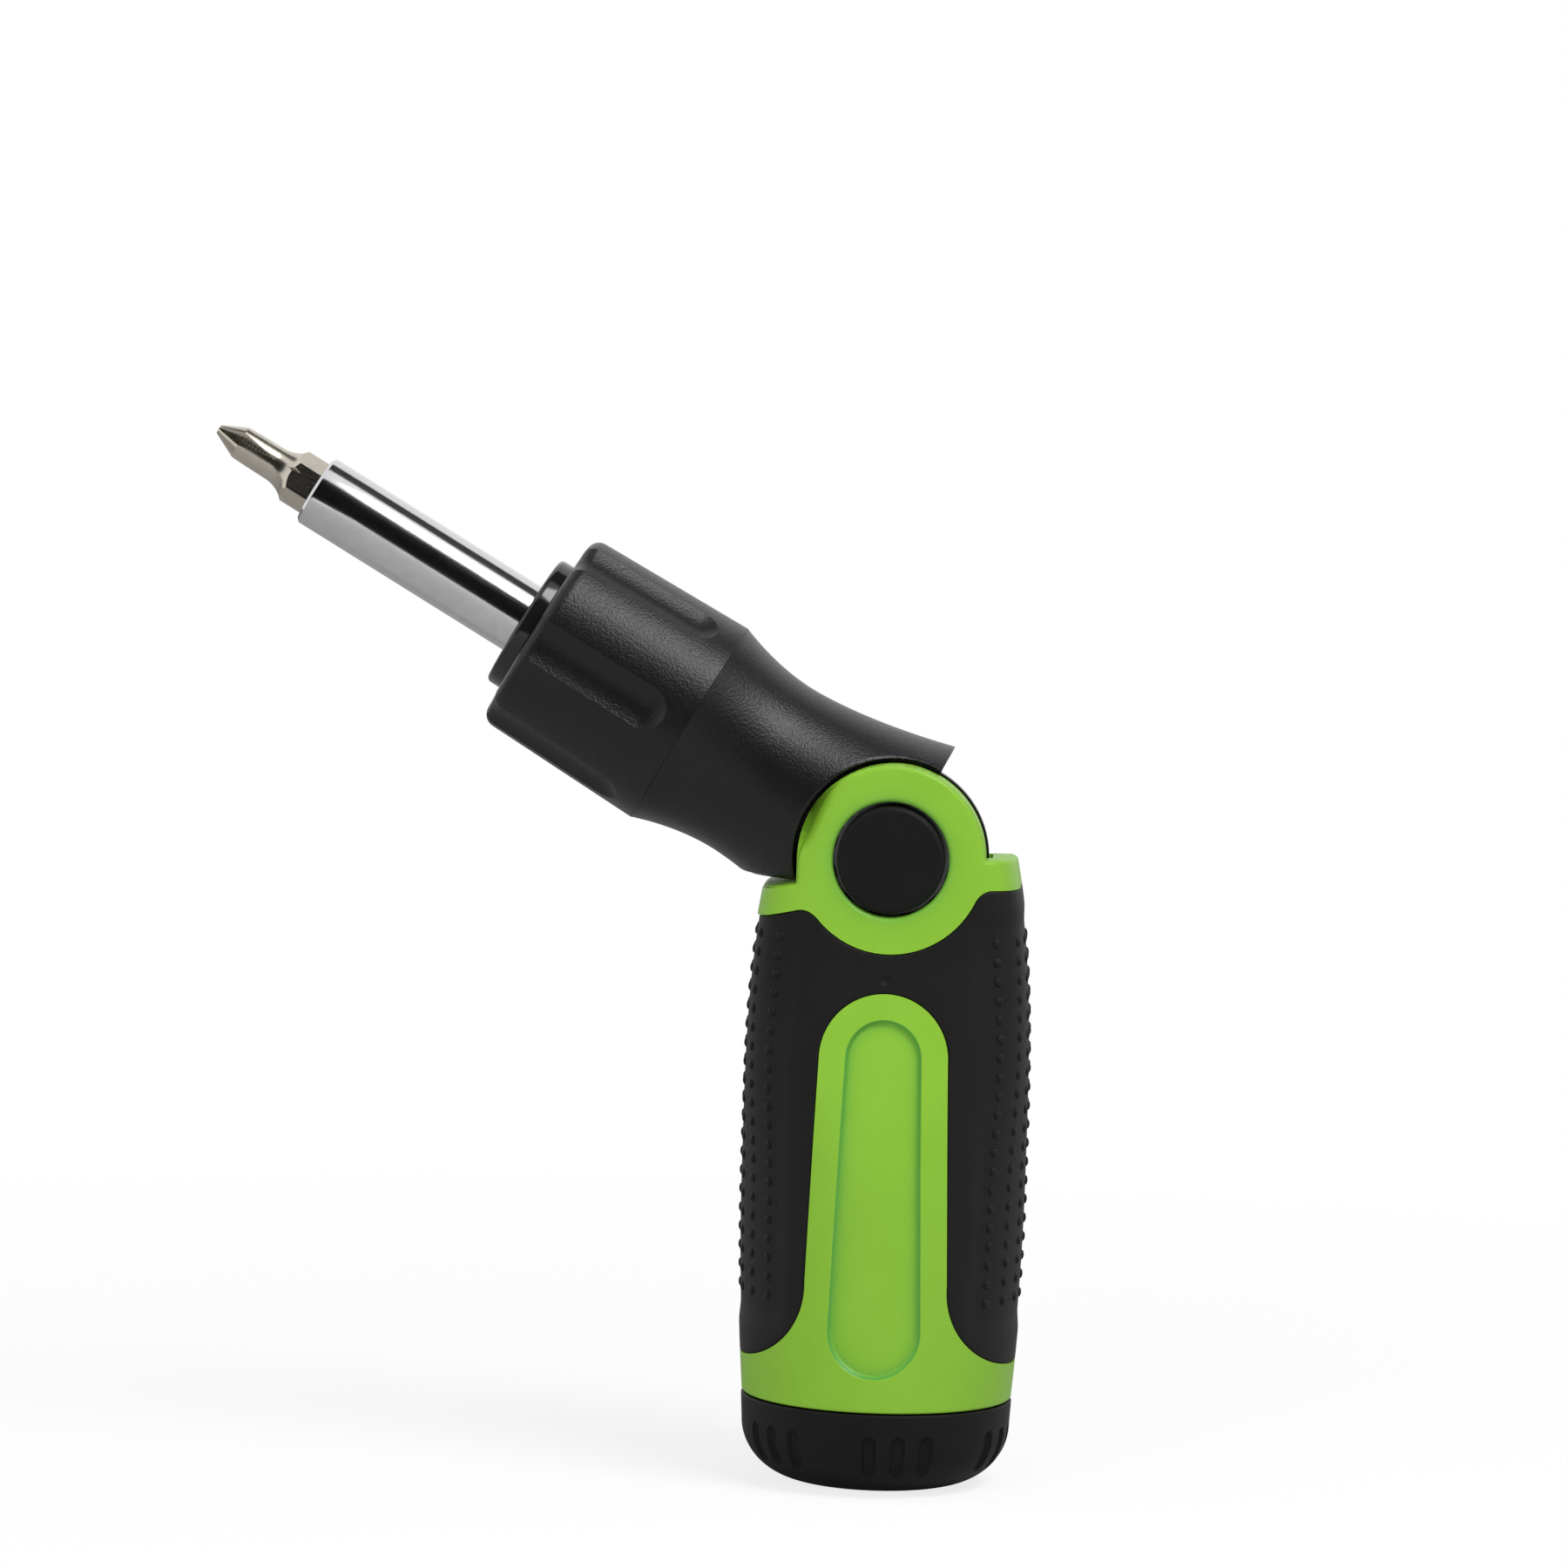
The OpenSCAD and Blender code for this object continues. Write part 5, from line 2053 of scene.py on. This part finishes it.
@dataclass
class CrossBit(Piece):
    """Cross-tip bit in the socket of the shaft.

    Attributes:
        seat: Distance of the bit's heel from the pivot.
        form: Surface of the bit.
    """

    seat: float = 77.0
    form: CrossForm = field(default_factory=CrossForm)
    node = "cross_bit"
    body = "driver_bit"
    finish = Finish.NICKEL

    def build(self) -> bpy.types.Object:
        """Returns the bit."""
        form = self.form
        shank = [0.0, 0.3, 0.6, *np.linspace(2.0, 13.0, 9), *np.linspace(13.4, 15.4, 13)]
        tip = [*np.linspace(15.5, 25.2, 120), 25.28, 25.34, form.length]
        rows = [-1.0, -0.5, *shank, *tip, form.length + 0.5, form.length + 1.0]
        net = SurfaceNet(form, 240, rows)

        def angle(points: np.ndarray) -> np.ndarray:
            """Returns the angle of each point."""
            return np.arctan2(points[:, 1], points[:, 0]) % TURN

        def chamfer(points: np.ndarray) -> np.ndarray:
            """Reach of the turned form over that of the hexagon."""
            return form.round(points[:, 2]) - form.hexagon(angle(points))

        def flutes(points: np.ndarray) -> np.ndarray:
            """Reach of the blank over that of the flutes."""
            blank = np.minimum(form.hexagon(angle(points)), form.round(points[:, 2]))
            return blank - form.flute(angle(points), points[:, 2])

        net.cut(chamfer, 0.0)
        net.cut(flutes, 0.0)
        bit = add_mesh(self.node + "_visual", net.points(), net.faces())
        soften(bit, 24.0)
        bit.data.transform(HEAD.matrix() @ Matrix.Translation((0.0, 0.0, self.seat * MM)))
        return bit


# Stage


@dataclass
class Stage:
    """Pale floor, studio light and the camera of the photograph.

    Attributes:
        target: Point that the camera looks at.
        azimuth: Angle of the camera round the tool, in degrees to the right.
        elevation: Angle of the camera above the level, in degrees.
        roll: Tilt of the picture, in degrees.
        distance: Distance of the camera from the target.
        focal: Focal length in pixels of a picture 1800 wide.
        ambient: Strength of the plain light from all round.
        floor_z: Height of the floor.
        fade: Distances on the floor where the shadow starts to fade and is gone, in metres.
    """

    target: tuple[float, float, float] = (-14.5, 0.0, 89.6)
    azimuth: float = 2.76
    elevation: float = 4.86
    roll: float = 1.88
    distance: float = 1000.0
    focal: float = 8930.0
    ambient: float = 0.3
    floor_z: float = -0.2
    fade: tuple[float, float] = (0.06, 0.3)

    def build(self) -> None:
        """Sets up the whole stage."""
        self.world()
        self.floor()
        self.lamps()
        self.cards()
        self.camera()

    def world(self) -> None:
        """White surroundings for the camera and reflections, plain light for the rest."""
        world = bpy.data.worlds.new("surroundings")
        bpy.context.scene.world = world
        world.use_nodes = True
        tree = world.node_tree
        path = tree.nodes.new("ShaderNodeLightPath").outputs
        seen = path["Is Camera Ray"]
        for kind in ("Is Glossy Ray", "Is Transmission Ray"):
            seen = add_node(tree, "ShaderNodeMath", {0: seen, 1: path[kind]}, operation="MAXIMUM").outputs[0]
        level = add_node(tree, "ShaderNodeMapRange", {"Value": seen, "To Min": self.ambient, "To Max": 1.0})
        backdrop = tree.nodes["Background"].inputs
        backdrop["Color"].default_value = (1.0, 1.0, 1.0, 1.0)
        tree.links.new(level.outputs["Result"], backdrop["Strength"])

    def floor(self) -> None:
        """Pale floor that keeps the tool's shadow."""
        half = 2000.0
        corners = [(x * half, y * half, self.floor_z) for x, y in ((-1, -1), (1, -1), (1, 1), (-1, 1))]
        floor = add_mesh("floor", np.array(corners), [[0, 1, 2, 3]])
        material = bpy.data.materials.new("floor")
        material.use_nodes = True
        tree = material.node_tree
        tree.nodes.remove(tree.nodes["Principled BSDF"])

        def add(kind: str, inputs: dict[str | int, object], **settings: object) -> bpy.types.NodeOutputs:
            """Adds a node and returns its outputs."""
            return add_node(tree, kind, inputs, **settings).outputs

        plain = add("ShaderNodeBsdfDiffuse", {"Color": (0.65, 0.65, 0.65, 1.0)})[0]
        pale = add("ShaderNodeBsdfDiffuse", {"Color": (0.25, 0.25, 0.25, 1.0)})[0]
        near = add("ShaderNodeAddShader", {0: pale, 1: add("ShaderNodeEmission", {"Strength": 0.8})[0]})[0]
        white = add("ShaderNodeEmission", {})[0]
        reach = add("ShaderNodeVectorMath", {0: add("ShaderNodeTexCoord", {})["Object"]}, operation="LENGTH")
        ends = {"Value": reach["Value"], "From Min": self.fade[0], "From Max": self.fade[1]}
        fade = add("ShaderNodeMapRange", ends)["Result"]
        seen = add("ShaderNodeMixShader", {"Fac": fade, 1: near, 2: white})[0]
        camera = add("ShaderNodeLightPath", {})["Is Camera Ray"]
        mix = add("ShaderNodeMixShader", {"Fac": camera, 1: plain, 2: seen})[0]
        tree.links.new(mix, tree.nodes["Material Output"].inputs["Surface"])
        floor.data.materials.append(material)

    def lamps(self) -> None:
        """A soft box above on the right, and a plain fill from the left that leaves no highlight."""
        for name, towards, size, energy, shows in (
            ("soft_box", (0.46, -0.42, 0.78), (0.42, 0.36), 4.4, True),
            ("fill", (-0.42, -0.88, 0.2), (0.5, 0.5), 2.45, False),
        ):
            light = bpy.data.lights.new(name, "AREA")
            light.shape = "RECTANGLE"
            light.size, light.size_y = size
            light.energy = energy
            lamp = bpy.data.objects.new(name, light)
            aim = Vector(towards).normalized()
            lamp.location = Vector((0.0, 0.0, 0.09)) + aim * 0.85
            lamp.rotation_euler = aim.to_track_quat("Z", "Y").to_euler()
            lamp.visible_camera = False
            lamp.visible_glossy = shows
            bpy.context.scene.collection.objects.link(lamp)

    def cards(self) -> None:
        """Dark cards that only reflections show, as the dark bands on the shaft do."""
        along = HEAD.axis()
        across = Vector((0.0, 1.0, 0.0)).cross(along).normalized()
        for name, low, high, shade in (("front_card", -29.0, 50.0, 0.012), ("top_card", 88.0, 118.0, 0.1)):
            material = bpy.data.materials.new(name)
            material.use_nodes = True
            shader = material.node_tree.nodes["Principled BSDF"]
            shader.inputs["Base Color"].default_value = (shade, shade, 0.9 * shade, 1.0)
            shader.inputs["Roughness"].default_value = 1.0
            shader.inputs["Specular IOR Level"].default_value = 0.0
            middle = math.radians((low + high) / 2.0)
            half = 0.7 * math.tan(math.radians((high - low) / 2.0))
            towards = Vector((0.0, -math.cos(middle), 0.0)) + across * math.sin(middle)
            aside = along.cross(towards).normalized()
            centre = Vector((-0.04, 0.0, 0.11)) + towards * 0.7
            corners = [
                centre + aside * half * a + along * 0.9 * b
                for a, b in ((-1.0, -1.0), (1.0, -1.0), (1.0, 1.0), (-1.0, 1.0))
            ]
            card = add_mesh(name, np.array([list(corner / MM) for corner in corners]), [[0, 1, 2, 3]])
            card.data.materials.append(material)
            card.visible_camera = False
            card.visible_diffuse = False
            card.visible_shadow = False

    def camera(self) -> None:
        """Camera at the photograph's viewing angle."""
        around, up_by, roll = (math.radians(v) for v in (self.azimuth, self.elevation, self.roll))
        flat = math.cos(up_by)
        back = Vector((math.sin(around) * flat, -math.cos(around) * flat, math.sin(up_by)))
        level = Vector((math.cos(around), math.sin(around), 0.0))
        upright = back.cross(level)
        right = level * math.cos(roll) + upright * math.sin(roll)
        top = upright * math.cos(roll) - level * math.sin(roll)
        data = bpy.data.cameras.new("photo_camera")
        data.sensor_width = 36.0
        data.lens = self.focal * 36.0 / 1800.0
        data.clip_end = 20.0
        camera = bpy.data.objects.new("photo_camera", data)
        place = Matrix((right, top, back)).transposed().to_4x4()
        place.translation = (Vector(self.target) + back * self.distance) * MM
        camera.matrix_world = place
        bpy.context.scene.collection.objects.link(camera)
        bpy.context.scene.camera = camera


STAYING = {
    Finish.STEEL: (
        "pivot_axle",
        "lock_gear",
        "pawl_left",
        "pawl_right",
        "thrust_washers",
        "selector_detent",
        "ratchet_gear",
        "socket_magnet",
        "socket_ring",
        "swivel_clip",
    ),
    Finish.NICKEL: ("slot_bit", "wide_slot_bit", "small_cross_bit", "square_bit", "star_bit", "hex_bit"),
    Finish.NYLON: ("bit_rack",),
    Finish.SEAL: ("cap_seal",),
}


def main() -> None:
    """Builds and dresses all pieces."""
    logging.basicConfig(level=logging.INFO, format="%(message)s")
    bpy.context.scene.view_settings.view_transform = "Standard"
    finishes = Finishes()
    for finish, names in STAYING.items():
        for name in names:
            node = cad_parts[name]
            for index in range(len(node.data.materials)):
                node.data.materials[index] = finishes.made[finish]
            LOG.info("%s keeps its solid", name)
    HandleCore().dress(finishes)
    sleeve = GripSleeve().dress(finishes)
    GripBumps().dress(finishes, sleeve)
    for piece in (
        PivotCap(),
        EndCap(),
        LockButton(),
        LockSpring(),
        PawlSpring(),
        HeadShell(),
        SelectorCollar(),
        NoseBushing(),
        BitShaft(),
        CrossBit(),
    ):
        piece.dress(finishes)
    Stage().build()


if __name__ == "__main__":
    main()
